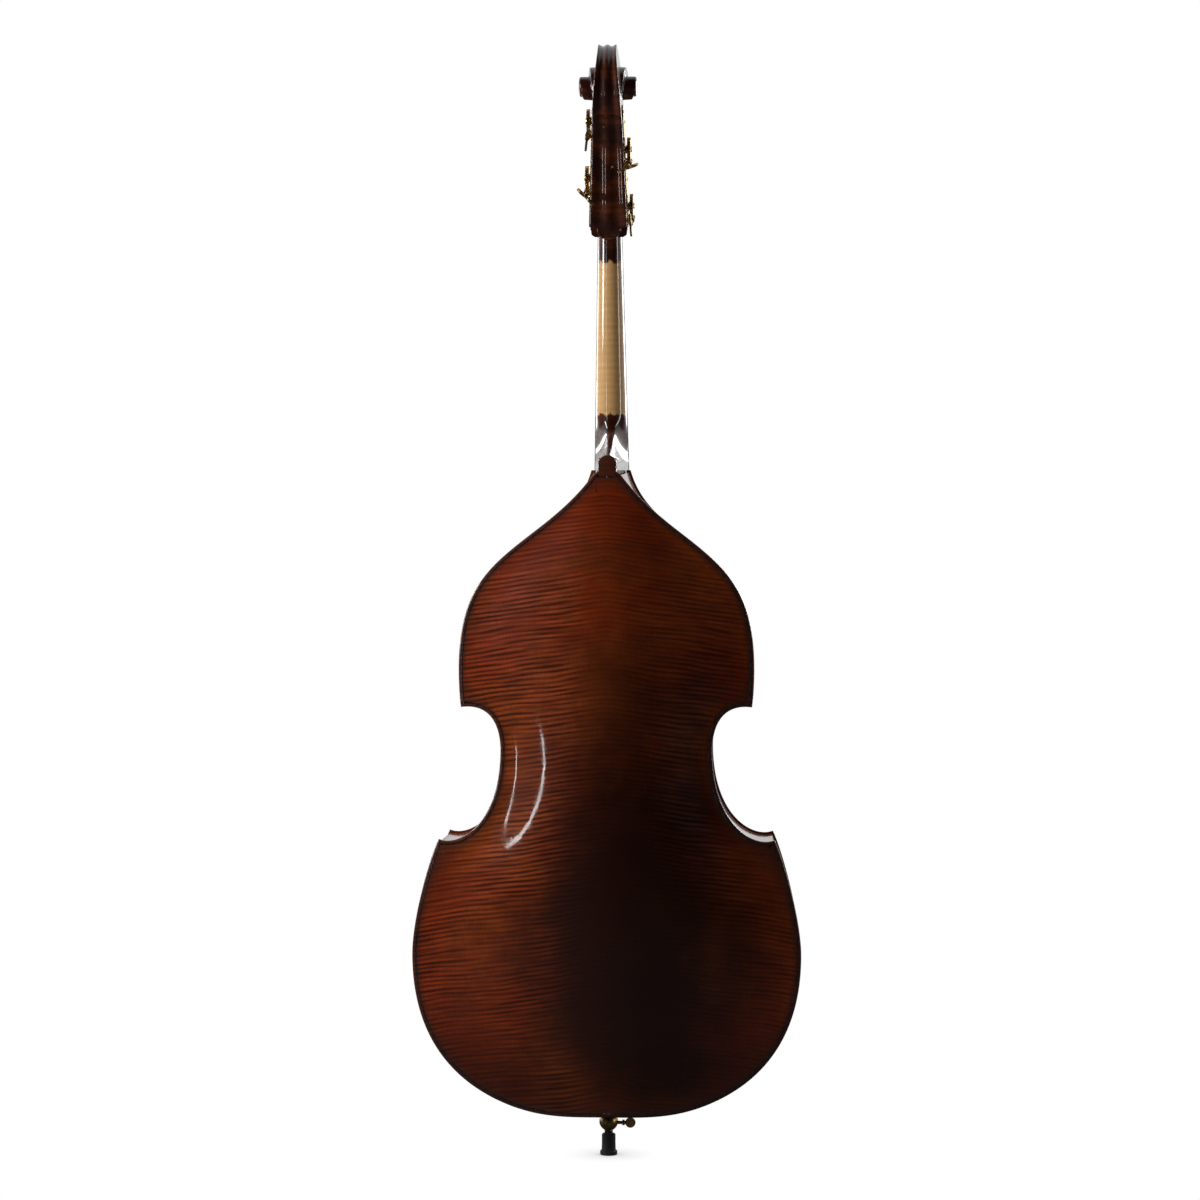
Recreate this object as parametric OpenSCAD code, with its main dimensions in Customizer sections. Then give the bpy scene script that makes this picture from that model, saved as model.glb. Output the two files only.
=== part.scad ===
// Double bass, three-quarter size, with violin corners, a carved back and full-plate machine heads.
// +Z runs up the instrument, -Y faces the player's audience (the strings), +X is the treble (G string) side.
// The origin is the centre of the rubber tip's flat foot, with the endpin pushed in.

/* [Body] */
// Length of the back without its button
body_len = 1107; // [1100:1:1115]
// Width across the lower bouts
lower_w = 668; // [660:1:676]
// Width across the middle bouts
waist_w = 364; // [360:1:368]
// Width across the upper bouts
upper_w = 508; // [502:1:514]
// Depth of the ribs at the lower bouts
rib_depth = 200; // [195:1:205]
// Loss of rib depth from the upper bouts to the neck
rib_taper = 38; // [30:1:45]
// Rise of the carved back above its edge
back_rise = 30; // [24:1:34]
// Rise of the carved front above its edge
front_rise = 30; // [24:1:34]
// Thickness of both plates at the edge
edge_t = 6; // [5.5:0.5:7]
// Height of the body's lowest edge above the floor, endpin pushed in
foot_gap = 83; // [80:1:86]

/* [Neck and strings] */
// Height of the nut above the floor
nut_z = 1620; // [1615:1:1625]
// Distance from the back's top edge down to the bridge
body_stop = 606; // [602:1:610]
// Width of the fingerboard at the nut
nut_w = 43; // [42:0.5:45]
// Width of the fingerboard at its lower end
board_end_w = 82; // [78:1:86]
// Length of the fingerboard
board_len = 860; // [840:5:870]
// Backward lean of the neck
neck_lean = 10.9; // [10.5:0.1:11.1]
// Backward lean of the pegbox and scroll
head_lean = 17; // [16:0.5:18]
// String diameters from G to E
string_diam = [1.3, 1.7, 2.2, 2.8];

/* [Machine heads] */
// Distance between neighbouring string posts
post_pitch = 49.4; // [49:0.1:50]
// Teeth on each worm wheel
wheel_teeth = 22; // [22:1:22]
// Axial pitch of the worm
worm_pitch = 5.5; // [5.4:0.05:5.55]

/* [Endpin] */
// Length of the endpin rod
rod_len = 430; // [400:5:440]
// Radius of the endpin rod
rod_r = 5; // [5:0.25:5.5]

/* [Hidden] */
$fn = 48;

// ---- general helpers ----
// Gap left at every glued or seated face
glue = 0.05;
// Point on a cubic curve
function bez(p, t) = pow(1 - t, 3) * p[0] + 3 * pow(1 - t, 2) * t * p[1]
    + 3 * (1 - t) * t * t * p[2] + pow(t, 3) * p[3];
// The points of a cubic curve, its last point left to the next curve
function run(p, n) = [for (k = [0 : n - 1]) bez(p, k / n)];
function dir(a, r) = r * [cos(a), sin(a)];
// A curve from p leaving at angle a to q arriving at angle b, with handle lengths la and lb
function arc_to(p, a, la, q, b, lb) = [p, p + dir(a, la), q - dir(b, lb), q];
function unit(v) = v / norm(v);
function clamp(v, lo, hi) = min(max(v, lo), hi);
function sum(v, n) = n <= 0 ? 0 : v[n - 1] + sum(v, n - 1);
function flip(p) = [-p[0], p[1]];
// A half outline moved inwards by d, with sharp mitres
function inward(h, d) = [for (i = [0 : len(h) - 1]) let(
    last = len(h) - 1,
    before = i == 0 ? flip(h[1]) : h[i - 1],
    after = i == last ? flip(h[last - 1]) : h[i + 1],
    u = unit(h[i] - before),
    v = unit(after - h[i]),
    nu = [-u[1], u[0]],
    nv = [-v[1], v[0]]
) h[i] + d * (nu + nv) / (1 + nu * nv)];

// ---- body outline, right half: x outwards, z up ----
// Every height below is given on a body of this length standing at this height, then moved and scaled
drawn_len = 1107;
drawn_foot = 83;
function bz(z) = foot_gap + (z - drawn_foot) * body_len / drawn_len;
lw = lower_w / 2;
ww = waist_w / 2;
uw = upper_w / 2;
top_z = bz(1190);
front_top_z = top_z + 13;
lower_corner = [lw - 45.5, bz(560)];
upper_corner = [uw - 4, bz(787)];
bottom_turn = [190.3, bz(113.3)];
shoulder = [118.5, bz(1094)];
button_r = 16.4;
button_z = top_z + 16;
bridge_z = top_z - body_stop + 3;
// Pieces in each curve: lower bout 3, middle bout 2, upper bout 3, neck root 1
cuts = [5, 9, 7, 9, 8, 3, 11, 7, 5];
lower_i = sum(cuts, 3);
upper_i = sum(cuts, 5);
neck_i = sum(cuts, 8);
last_i = sum(cuts, 9);
// The curves both plates share, up to the shoulder
bouts = concat(
    run(arc_to([0, foot_gap], 0, 65.4, bottom_turn, 25.9, 76.9), cuts[0]),
    run(arc_to(bottom_turn, 25.9, 97.6, [lw, bz(362.4)], 90, 127.4), cuts[1]),
    run(arc_to([lw, bz(362.4)], 90, 66.2, lower_corner, 118, 25.4), cuts[2]),
    run(arc_to(lower_corner, 203.5, 35.5, [ww, bz(714)], 90, 132), cuts[3]),
    run(arc_to([ww, bz(714)], 90, 8.4, upper_corner, -7.7, 69.4), cuts[4]),
    run(arc_to(upper_corner, 81.6, 20, [uw, bz(852)], 90, 20), cuts[5]),
    run(arc_to([uw, bz(852)], 90, 142, shoulder, 142, 102.5), cuts[6])
);
// The straight top edge where the neck stands, from half width w at height z
function neck_edge(w, z) = [for (k = [0 : cuts[8]]) [w * (1 - k / cuts[8]), z]];
back_half = concat(bouts,
    run(arc_to(shoulder, 142, 70, [22, top_z], 127.3, 35), cuts[7]),
    neck_edge(22, top_z));
front_half = concat(bouts,
    run(arc_to(shoulder, 142, 60, [35, front_top_z], 106, 45), cuts[7]),
    neck_edge(35, front_top_z));
// The back's edge follows its round button
back_edge = concat([for (i = [0 : neck_i]) back_half[i]],
    [for (a = [-35, 0, 35, 62, 90]) [0, button_z] + dir(a, button_r)]);
// Where the arching starts: a smooth curve that passes inside the corners, and dips at the neck
arch_in = 15;
arch_dip = 7;
arch_low = [lw - 80, bz(524)];
arch_up = [uw - 32, bz(814)];
function arch_half(w, z) = concat(
    run(arc_to([0, foot_gap + arch_in], 0, 62, [184, bz(127)], 27, 70), cuts[0]),
    run(arc_to([184, bz(127)], 27, 90, [lw - arch_in, bz(362)], 90, 120), cuts[1]),
    run(arc_to([lw - arch_in, bz(362)], 90, 70, arch_low, 140, 45), cuts[2]),
    run(arc_to(arch_low, 140, 45, [ww - arch_in, bz(714)], 90, 120), cuts[3]),
    run(arc_to([ww - arch_in, bz(714)], 90, 35, arch_up, 38, 45), cuts[4]),
    run(arc_to(arch_up, 38, 12, [uw - arch_in, bz(858)], 90, 20), cuts[5]),
    run(arc_to([uw - arch_in, bz(858)], 90, 130, [108, bz(1083)], 142, 95), cuts[6]),
    run(arc_to([108, bz(1083)], 142, 55, [w, z - arch_dip], 150, 30), cuts[7]),
    [for (k = [0 : cuts[8]]) [w * (1 - k / cuts[8]), z - arch_dip * pow(1 - k / cuts[8], 2)]]
);

// ---- arching ----
half_depth = rib_depth / 2;
taper_z = bz(930);
// Half depth of the ribs at the back, falling towards the neck
taper_len = 260;
function back_y(z) = half_depth - rib_taper * pow(max(0, z - taper_z) / taper_len, 2);
function front_y(z) = half_depth;
// Every point of the arching lies on a line from the arching's edge to the centre line
function spine_z(z) = bz(353) + bz(424) * clamp((z - bz(230)) / bz(720), 0, 1);
function on_line(a, t) = [a[0] * (1 - t), a[1] + (spine_z(a[1]) - a[1]) * t];
function bulge(z, rise) = rise * (1 - 0.15 * pow((spine_z(z) - bz(560)) / 300, 2));
function swell(t) = pow(sin(90 * clamp(t, 0, 1)), 1.5);
// A loop of plate points: half outline h at distances y(i) from the mid plane, on side s
function loop3(h, y, s) = [for (j = [0 : 2 * last_i - 1]) let(
    i = j <= last_i ? j : 2 * last_i - j,
    m = j <= last_i ? 1 : -1
) [m * h[i][0], s * y[i], h[i][1]]];
function lift(h, s, up) = [for (p = h) (s > 0 ? back_y(p[1]) : front_y(p[1])) + up];
function domed(a, t, s, up, rise, t0) = [for (p = a) let(q = on_line(p, t))
    (s > 0 ? back_y(q[1]) : front_y(q[1])) + up + bulge(p[1], rise) * swell((t - t0) / (1 - t0))];
function lined(a, t) = [for (p = a) on_line(p, t)];

// Faces joining equal loops into one closed skin, with ladders across the first and last
function skin(count, n, s) = let(
    h = n / 2,
    quads = [for (k = [0 : count - 2]) for (j = [0 : n - 1]) let(
        a = k * n + j, b = k * n + (j + 1) % n) [a, b, b + n, a + n]],
    e = (count - 1) * n,
    low = [for (i = [1 : h - 2]) [i, n - i, n - i - 1, i + 1]],
    high = [for (i = [1 : h - 2]) [e + i, e + i + 1, e + n - i - 1, e + n - i]],
    tips = [[0, n - 1, 1], [h - 1, h + 1, h], [e, e + 1, e + n - 1], [e + h - 1, e + h, e + h + 1]],
    all = concat([for (q = concat(quads, low, high)) each [[q[0], q[1], q[2]], [q[0], q[2], q[3]]]],
        tips)
) s > 0 ? all : [for (f = all) [f[2], f[1], f[0]]];

groove_out = 5;
groove_in = 7.4;
groove_deep = 1.6;
edge_round = 1.4;
crown_in = 2.2;
inner_start = 0.05;
// A carved plate with a purfling groove: s is 1 for the back, -1 for the front
module plate(edge, half, a, s, rise, thick) {
    g_out = inward(half, groove_out);
    g_in = inward(half, groove_in);
    crown = inward(half, crown_in);
    in_rise = rise + edge_t - thick;
    loops = concat(
        [for (t = [0.95, 0.7, 0.42, 0.2, inner_start])
            loop3(lined(a, t), domed(a, t, s, 0, in_rise, inner_start), s)],
        [loop3(crown, lift(crown, s, 0), s),
            loop3(edge, lift(edge, s, 0), s),
            loop3(edge, lift(edge, s, edge_t - edge_round), s),
            loop3(crown, lift(crown, s, edge_t), s),
            loop3(g_out, lift(g_out, s, edge_t), s),
            loop3(g_out, lift(g_out, s, edge_t - groove_deep), s),
            loop3(g_in, lift(g_in, s, edge_t - groove_deep), s),
            loop3(g_in, lift(g_in, s, edge_t), s)],
        [for (t = [0, 0.08, 0.18, 0.32, 0.5, 0.72, 0.95])
            loop3(lined(a, t), domed(a, t, s, edge_t, rise, 0), s)]
    );
    polyhedron(points = [for (l = loops) each l], faces = skin(len(loops), 2 * last_i, s),
        convexity = 8);
}
back_arch = arch_half(18, bz(1164));
front_arch = arch_half(24, bz(1172));
back_thick = 7;
front_thick = 9;

module back_plate() {
    color([0.36, 0.14, 0.06])
        plate(back_edge, back_half, back_arch, 1, back_rise, back_thick);
}

f_upper = [80, bz(685)];
f_lower = [150, bz(498)];
f_stem = [f_upper + [8, 4], f_upper + [46, 46], f_lower + [-50, -46], f_lower + [-12, -4]];
f_width = 13;
f_eyes = [9.5, 13];
// One sound hole: two round eyes joined by a curved stem, with a nick on each side of its middle
module f_hole() {
    translate(f_upper) circle(r = f_eyes[0]);
    translate(f_lower) circle(r = f_eyes[1]);
    n = 20;
    side = [for (k = [0 : n]) let(
        t = k / n,
        p = bez(f_stem, t),
        q = bez(f_stem, t + 0.01),
        u = unit(q - p),
        w = f_width * (0.2 + 0.3 * sin(180 * t))
    ) [p + w * [-u[1], u[0]], p - w * [-u[1], u[0]]]];
    polygon(concat([for (e = side) e[0]], [for (k = [n : -1 : 0]) side[k][1]]));
    translate(bez(f_stem, 0.5)) polygon([[-11, 0], [0, -4], [11, 0], [0, 4]]);
}
neck_notch = 27.5;
saddle_w = 44;
saddle_top = foot_gap + 17;
module front_plate() {
    color([0.55, 0.29, 0.12])
    difference() {
        plate(front_half, front_half, front_arch, -1, front_rise, front_thick);
        for (m = [0, 1]) mirror([m, 0, 0])
            translate([0, -half_depth + 5, 0]) rotate([90, 0, 0])
                linear_extrude(height = 60) f_hole();
        translate([-neck_notch, -half_depth - 60, top_z - 3]) cube([2 * neck_notch, 70, 40]);
        translate([-saddle_w / 2, -half_depth - 40, foot_gap - 20])
            cube([saddle_w, 50, saddle_top - foot_gap + 20]);
    }
}

// A black inlaid strip lying in the plate's groove
module purfling(half, s) {
    o = inward(half, groove_out + glue);
    i = inward(half, groove_in - glue);
    low = edge_t - groove_deep + glue;
    loops = [loop3(o, lift(o, s, low), s), loop3(o, lift(o, s, edge_t), s),
        loop3(i, lift(i, s, edge_t), s), loop3(i, lift(i, s, low), s)];
    n = 2 * last_i;
    faces = [for (k = [0 : 3]) for (j = [0 : n - 1]) let(
        a = k * n + j, b = k * n + (j + 1) % n, c = ((k + 1) % 4) * n + (j + 1) % n,
        d = ((k + 1) % 4) * n + j) each [[a, b, c], [a, c, d]]];
    polyhedron(points = [for (l = loops) each l],
        faces = s > 0 ? faces : [for (f = faces) [f[2], f[1], f[0]]], convexity = 8);
}
module back_purfling() {
    color([0.05, 0.04, 0.04]) purfling(back_half, 1);
}
module front_purfling() {
    color([0.05, 0.04, 0.04])
    difference() {
        purfling(front_half, -1);
        translate([-neck_notch, -half_depth - 60, top_z - 3]) cube([2 * neck_notch, 70, 40]);
        translate([-saddle_w / 2, -half_depth - 40, foot_gap - 20])
            cube([saddle_w, 50, saddle_top - foot_gap + 20]);
    }
}

// ---- ribs, linings and blocks ----
overhang = 4;
rib_t = 2;
lining_t = 8;
lining_h = 18;
rib_out = overhang;
rib_in = overhang + rib_t;
// A bent strip between two depths under the plates: inset d0 to d1, outline points a to b, on side m
// lo and hi are its two edges as [plane, gap], measured from the front glue plane (0) or the back one (1)
module strip(d0, d1, a, b, lo, hi, m) {
    fo = inward(front_half, d0);
    fi = inward(front_half, d1);
    bo = inward(back_half, d0);
    bi = inward(back_half, d1);
    // Share of the way from the front outline to the back outline at depth y
    function mix(f, k, y) = let(
        w = (y + half_depth) / (back_y(k[1]) + half_depth)) f + (k - f) * w;
    function deep(k, e) = e[0] == 0 ? -half_depth + e[1] : back_y(k[1]) - e[1];
    function point(f, k, e) = let(y = deep(k, e), p = mix(f, k, y)) [m * p[0], y, p[1]];
    n = b - a + 1;
    points = [for (i = [a : b]) each [point(fo[i], bo[i], lo), point(fo[i], bo[i], hi),
        point(fi[i], bi[i], hi), point(fi[i], bi[i], lo)]];
    sides = [for (i = [0 : n - 2]) for (k = [0 : 3]) let(
        p = 4 * i + k, q = 4 * i + (k + 1) % 4) each [[p, q, q + 4], [p, q + 4, p + 4]]];
    e = 4 * (n - 1);
    faces = concat(sides, [[0, 3, 2], [0, 2, 1], [e, e + 1, e + 2], [e, e + 2, e + 3]]);
    polyhedron(points = points,
        faces = m < 0 ? faces : [for (f = faces) [f[2], f[1], f[0]]], convexity = 6);
}
plate_gap = 0.15;
// The back is bent over the taper in flat steps, so what it covers keeps a little more room
back_gap = 0.3;
module rib(a, b, m) {
    color([0.33, 0.13, 0.06])
        strip(rib_out, rib_in, a, b, [0, plate_gap], [1, back_gap], m);
}
module upper_rib_treble() { rib(upper_i, neck_i, 1); }
module upper_rib_bass() { rib(upper_i, neck_i, -1); }
module centre_rib_treble() { rib(lower_i, upper_i, 1); }
module centre_rib_bass() { rib(lower_i, upper_i, -1); }
// The lower ribs meet under the endpin and are bored for its collar
module lower_rib(m) {
    difference() {
        rib(0, lower_i, m);
        cylinder(r = collar_sleeve_r + glue, h = foot_gap + 20);
    }
}
module lower_rib_treble() { lower_rib(1); }
module lower_rib_bass() { lower_rib(-1); }

block_reach = 3;
end_block_i = 2;
neck_block_i = neck_i - 3;
// Linings fill the runs between blocks
module linings(lo, hi) {
    runs = [[end_block_i, lower_i - block_reach], [lower_i + block_reach, upper_i - block_reach],
        [upper_i + block_reach, neck_block_i - 1]];
    color([0.80, 0.66, 0.44])
    for (m = [1, -1]) for (r = runs)
        strip(rib_in + glue, rib_in + glue + lining_t, r[0], r[1], lo, hi, m);
}
module front_linings() { linings([0, plate_gap], [0, lining_h]); }
module back_linings() { linings([1, lining_h], [1, back_gap]); }

// Prism standing between the plates on a flat outline
module upright(pts, y0, y1) {
    translate([0, y1, 0]) rotate([90, 0, 0]) linear_extrude(height = y1 - y0) polygon(pts);
}
block_inset = rib_in + 0.1;
back_in = inward(back_half, block_inset);
block_y = half_depth - plate_gap;
collar_sleeve_r = 11;
end_block_h = 50;
// The block stops just short of the linings
end_corner = back_in[end_block_i] * 0.9 + back_in[end_block_i - 1] * 0.1;
module end_block() {
    right = concat([for (i = [0 : end_block_i - 1]) back_in[i]],
        [end_corner, [end_corner[0], foot_gap + end_block_h]]);
    color([0.78, 0.64, 0.42])
    difference() {
        upright(concat(right, [for (k = [len(right) - 1 : -1 : 1]) flip(right[k])]),
            -block_y, block_y);
        cylinder(r = collar_sleeve_r + glue, h = 400);
    }
}
mortise_w = 32;
mortise_z = top_z - 32;
neck_block_low = [back_in[neck_block_i][0], back_in[neck_block_i][1] - 30];
module neck_block() {
    color([0.78, 0.64, 0.42])
    difference() {
        intersection() {
            upright(concat([for (i = [neck_block_i : neck_i]) back_in[i]],
                [for (i = [neck_i : -1 : neck_block_i]) flip(back_in[i])],
                [flip(neck_block_low), neck_block_low]), -block_y, block_y);
            rotate([90, 0, 90]) translate([0, 0, -200]) linear_extrude(height = 400) polygon([
                [-block_y, 900], [back_y(neck_block_low[1]) - 0.4, neck_block_low[1]],
                [back_y(top_z) - 0.4, top_z], [-block_y, top_z]]);
        }
        translate([-mortise_w / 2, -half_depth - 1, mortise_z])
            cube([mortise_w, back_y(top_z) + half_depth - 14, 100]);
    }
}
module corner_block(i) {
    upright([for (k = [i - block_reach : i + block_reach]) back_in[k]], -block_y, block_y);
}
module corner_blocks() {
    color([0.78, 0.64, 0.42])
    for (m = [0, 1]) mirror([m, 0, 0]) {
        corner_block(lower_i);
        corner_block(upper_i);
    }
}

bar_x = -62;
bar_w = 20;
bar_z0 = bz(290);
bar_z1 = bz(850);
bar_deep = 24;
// The bar follows the inside of the front: level, dipping at the waist, falling to both ends
function bar_seat(z) = 22 - 6.3 * exp(-pow((z - bz(660)) / 85, 2))
    - 4.2 * pow(max(0, z - bz(740)) / 110, 2) - 2 * pow(max(0, bz(400) - z) / 110, 2);
module bass_bar() {
    n = 14;
    zs = [for (k = [0 : n]) bar_z0 + (bar_z1 - bar_z0) * k / n];
    color([0.86, 0.74, 0.52])
        translate([bar_x - bar_w / 2, 0, 0]) rotate([90, 0, 90])
            linear_extrude(height = bar_w) polygon(concat(
                [for (z = zs) [-half_depth - bar_seat(z), z]],
                [for (k = [n : -1 : 0])
                    [-half_depth - bar_seat(zs[k]) + 8 + bar_deep * sin(180 * k / n), zs[k]]]));
}
post_x = 62;
post_z = bridge_z - 26;
soundpost_r = 9;
module soundpost() {
    // Both ends are cut to the slope of the plates
    color([0.86, 0.74, 0.52]) intersection() {
        translate([post_x, 150, post_z]) rotate([90, 0, 0]) cylinder(r = soundpost_r, h = 300);
        translate([post_x, 0, post_z - 20]) linear_extrude(height = 40)
            polygon([[-10, -122.75], [10, -119.7], [10, 121.1], [-10, 124.5]]);
    }
}

// ---- neck and head ----
// The neck frame stands on the fingerboard's glue plane at the nut, z up the neck, y backwards
glue_y = -54;
module neck_frame() { translate([0, glue_y, nut_z]) rotate([-neck_lean, 0, 0]) children(); }
head_drop = 9;
module head_frame() {
    translate([0, glue_y, nut_z - head_drop]) rotate([-head_lean, 0, 0]) children();
}
function glue_plane(z) = glue_y - (nut_z - z) * tan(neck_lean);
board_top_w = nut_w / 2;
board_low_w = board_end_w / 2;
function board_half(z) = board_top_w
    + (board_low_w - board_top_w) * (nut_z - z) / (board_len * cos(neck_lean));
keel_w = 5;
heel_top = bz(1308);
button_top = button_z + button_r;
function ease(t) = let(c = clamp(t, 0, 1)) c * c * (3 - 2 * c);
// Half width of the heel's back edge: the button's round, then a keel widening to the handle
function keel(z) = z < button_z ? button_r - 0.4
    : max(keel_w, sqrt(max(0, pow(button_r - 0.4, 2) - pow(z - button_z, 2))));
function handle_r(z) = board_half(z) - 0.5;
heel_gap = 0.35;
function ridge_y(z) = z <= button_top ? back_y(z) - heel_gap
    : let(s = clamp((z - button_top) / (heel_top - button_top), 0, 1),
        g = glue_plane(z) + handle_r(z))
        g + (back_y(button_top) - heel_gap - g) * pow(1 - s, 3.4);
section_n = 9;
// Half cross-section of the neck at height z, from the middle of its back to the fingerboard
function neck_half(z) = let(
    b = ease((z - button_top - 15) / (heel_top - button_top - 15)),
    r = handle_r(z),
    g = glue_plane(z) + glue,
    k = keel(z),
    y0 = ridge_y(z)
) [for (j = [0 : section_n]) let(
    a = 90 * j / section_n,
    round_p = [r * sin(a), g + (y0 - g) * cos(a)],
    u = clamp((j - 2) / (section_n - 2), 0, 1),
    heel_p = j == 0 ? [0, y0] : j == 1 ? [k * 0.7, y0 - 0.4]
        : [k + (r - k) * pow(u, 1.9), y0 - 2 + (g - y0 + 2) * u]
) heel_p + (round_p - heel_p) * b];
neck_levels = concat([top_z - 2, top_z + 6, button_z, button_z + 8, button_z + 12.5, button_top - 1],
    [for (s = [0.02, 0.06, 0.12, 0.2, 0.3, 0.42, 0.56, 0.72, 0.88, 1])
        button_top + (heel_top - button_top) * s],
    [bz(1400), bz(1500), nut_z - 8, nut_z + 10]);
module neck_loft() {
    n = 2 * section_n + 1;
    loops = [for (z = neck_levels) let(h = neck_half(min(z, nut_z + 10)))
        concat([for (j = [section_n : -1 : 1]) [-h[j][0], h[j][1], z]],
            [for (j = [0 : section_n]) [h[j][0], h[j][1], z]])];
    c = len(loops);
    polyhedron(points = [for (l = loops) each l],
        faces = concat(
            [for (k = [0 : c - 2]) for (j = [0 : n - 1]) let(
                a = k * n + j, b = k * n + (j + 1) % n) each [[a, b, b + n], [a, b + n, a + n]]],
            [[for (j = [n - 1 : -1 : 0]) j], [for (j = [0 : n - 1]) (c - 1) * n + j]]),
        convexity = 6);
}

// Spiral of the scroll: distance from the eye at angle a, measured from the back over the top
eye = [5, 267];
scroll_r = 73;
turn_ratio = 0.48;
function spiral(a) = a < 90 ? scroll_r * (1 + 0.0009 * (90 - a))
    : scroll_r * pow(turn_ratio, (a - 90) / 360);
// Layer n of the scroll: inside the spiral that begins at angle a0, a hair in from the layer before
module volute(n, a0, half) {
    translate([-half, 0, 0]) rotate([90, 0, 90]) linear_extrude(height = 2 * half)
        polygon([for (k = [0 : 24]) let(a = a0 + 15 * k) eye + dir(a, spiral(a) * (0.985 - 0.012 * n))]);
}
eye_r = 17.5;
eye_half = 50.5;
// The cheeks lean together from the shoulders to the scroll
cheek_low = [33, 22];
cheek_high = [25, 236];
cheek_lean = atan((cheek_low[0] - cheek_high[0]) / (cheek_high[1] - cheek_low[1]));
function cheek(z) = cheek_low[0] - (z - cheek_low[1]) * tan(cheek_lean);
post_y = 22;
post_r = 5;
post_end_gap = 3.5;
post_bore_gap = 3;
screw_r = 1.5;
screw_bore_r = 1.6;
// String posts from the nut upwards: E, G, A, D. E and A turn on the bass side
function post_h(n) = 61.8 + post_pitch * n;
function side(n) = n % 2 == 0 ? -1 : 1;
slot_half = 17.5;
slot_low = 30;
slot_high = 222;
slot_floor = 40;
module head_side() {
    rotate([90, 0, 90]) translate([0, 0, -60]) linear_extrude(height = 120)
        polygon(concat([[10, 8], [0.5, 12], [-1, 20], [-5, 34], [-6, 60], [-6, 200], [-4, 225]],
            [for (a = [249 : -12 : -33]) eye + dir(a, spiral(a))],
            run([[66, 224], [60, 205], [52, 190], [53, 160]], 4),
            run([[53, 160], [54, 120], [59, 90], [58, 52]], 4),
            run([[58, 52], [57, 26], [50, 4], [34, 3]], 5), [[34, 3]]));
}
module head_front() {
    right = concat([for (a = [-90 : 18 : 0]) [0, 24] + dir(a, 20)],
        [[20.5, 27], cheek_low + [-11, 6], [31.5, 28], [cheek(30), 30], cheek_high,
            [24, 252], [22.5, 276], [19, 306], [16.5, 330], [15.5, 350]]);
    rotate([90, 0, 0]) translate([0, 0, -120]) linear_extrude(height = 220)
        polygon(concat(right, [for (k = [len(right) - 1 : -1 : 1]) flip(right[k])]));
}
// The cheeks' ends beside the nut
module shoulders() {
    for (m = [0, 1]) mirror([m, 0, 0]) rotate([90, 0, 0]) translate([0, 0, -34])
        linear_extrude(height = 33) polygon([[16, 8], [25, 8], [31, 12], cheek_low, [cheek(34), 34],
            [20, 34]]);
}
// Frame on the outside of a cheek: x outwards, z up along the cheek
module cheek_frame(s) {
    mirror([s > 0 ? 0 : 1, 0, 0]) translate([cheek_low[0], 0, cheek_low[1]])
        rotate([0, -cheek_lean, 0]) children();
}
plate_screws = [[10, 30], [46, 60], [6, 84], [46, 110], [6, 134], [46, 160], [6, 184], [40, 206]];
module neck() {
    color([0.40, 0.17, 0.07])
    difference() {
        union() {
            neck_loft();
            translate([-mortise_w / 2 + glue, -half_depth + 1, mortise_z + glue])
                cube([mortise_w - 2 * glue, back_y(top_z) + half_depth - 16, 60]);
            head_frame() {
                intersection() {
                    head_side();
                    head_front();
                }
                shoulders();
                for (k = [0 : 5]) volute(k, 225 + 90 * k, 19 + 5.2 * k);
                translate([-eye_half, eye[0], eye[1]]) rotate([0, 90, 0])
                    cylinder(r = eye_r, h = 2 * eye_half);
            }
        }
        head_frame() {
            translate([-slot_half, -30, slot_low])
                cube([2 * slot_half, 30 + slot_floor, slot_high - slot_low]);
            for (n = [0 : 3]) mirror([side(n) > 0 ? 0 : 1, 0, 0])
                translate([-cheek(post_h(n)) + post_bore_gap, post_y, post_h(n)]) rotate([0, 90, 0])
                    cylinder(r = post_r + 0.06, h = 100);
            for (s = [1, -1]) cheek_frame(s) for (p = plate_screws)
                translate([-9, p[0], p[1]]) rotate([0, 90, 0]) cylinder(r = screw_bore_r, h = 20);
        }
    }
}
board_side = 10.4;
board_arch_r = 66;
module fingerboard() {
    n = 10;
    function section(w, z) = concat([[w, -glue, z], [-w, -glue, z]],
        [for (k = [0 : n]) let(x = -w + 2 * w * k / n)
            [x, -board_side - sqrt(pow(board_arch_r, 2) - x * x)
                + sqrt(pow(board_arch_r, 2) - w * w), z]]);
    c = n + 3;
    color([0.04, 0.035, 0.035]) neck_frame()
        polyhedron(points = concat(section(board_low_w, -board_len), section(board_top_w, -glue)),
            faces = concat([for (j = [0 : c - 1]) each [[(j + 1) % c, j, j + c],
                [(j + 1) % c, j + c, (j + 1) % c + c]]],
                [[for (j = [0 : c - 1]) j], [for (j = [c - 1 : -1 : 0]) j + c]]));
}
nut_rise = 2;
function board_top(x) = board_side + sqrt(pow(board_arch_r, 2) - x * x)
    - sqrt(pow(board_arch_r, 2) - pow(board_top_w, 2));
nut_len = 9;
module nut() {
    n = 10;
    color([0.05, 0.045, 0.045]) difference() {
        neck_frame()
            linear_extrude(height = nut_len) polygon(concat(
                [[board_top_w, -glue], [-board_top_w, -glue]],
                [for (k = [0 : n]) let(x = -board_top_w + 2 * board_top_w * k / n)
                    [x, -board_top(x) - nut_rise]]));
        string_grooves();
    }
}

// ---- machine heads ----
brass = [0.78, 0.58, 0.25];
plate_t = 2;
wheel_t = 6;
shoulder_r = 7.5;
shoulder_t = 2.4;
wheel_screw_r = 1.8;
wheel_off = 6.2;
wheel_r = wheel_teeth * worm_pitch / (2 * PI);
tooth_up = 1.2;
tooth_down = 1.35;
worm_r = 3.7;
worm_root = 2.35;
worm_crest = 4.9;
mesh_gap = wheel_r + worm_r;
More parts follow.
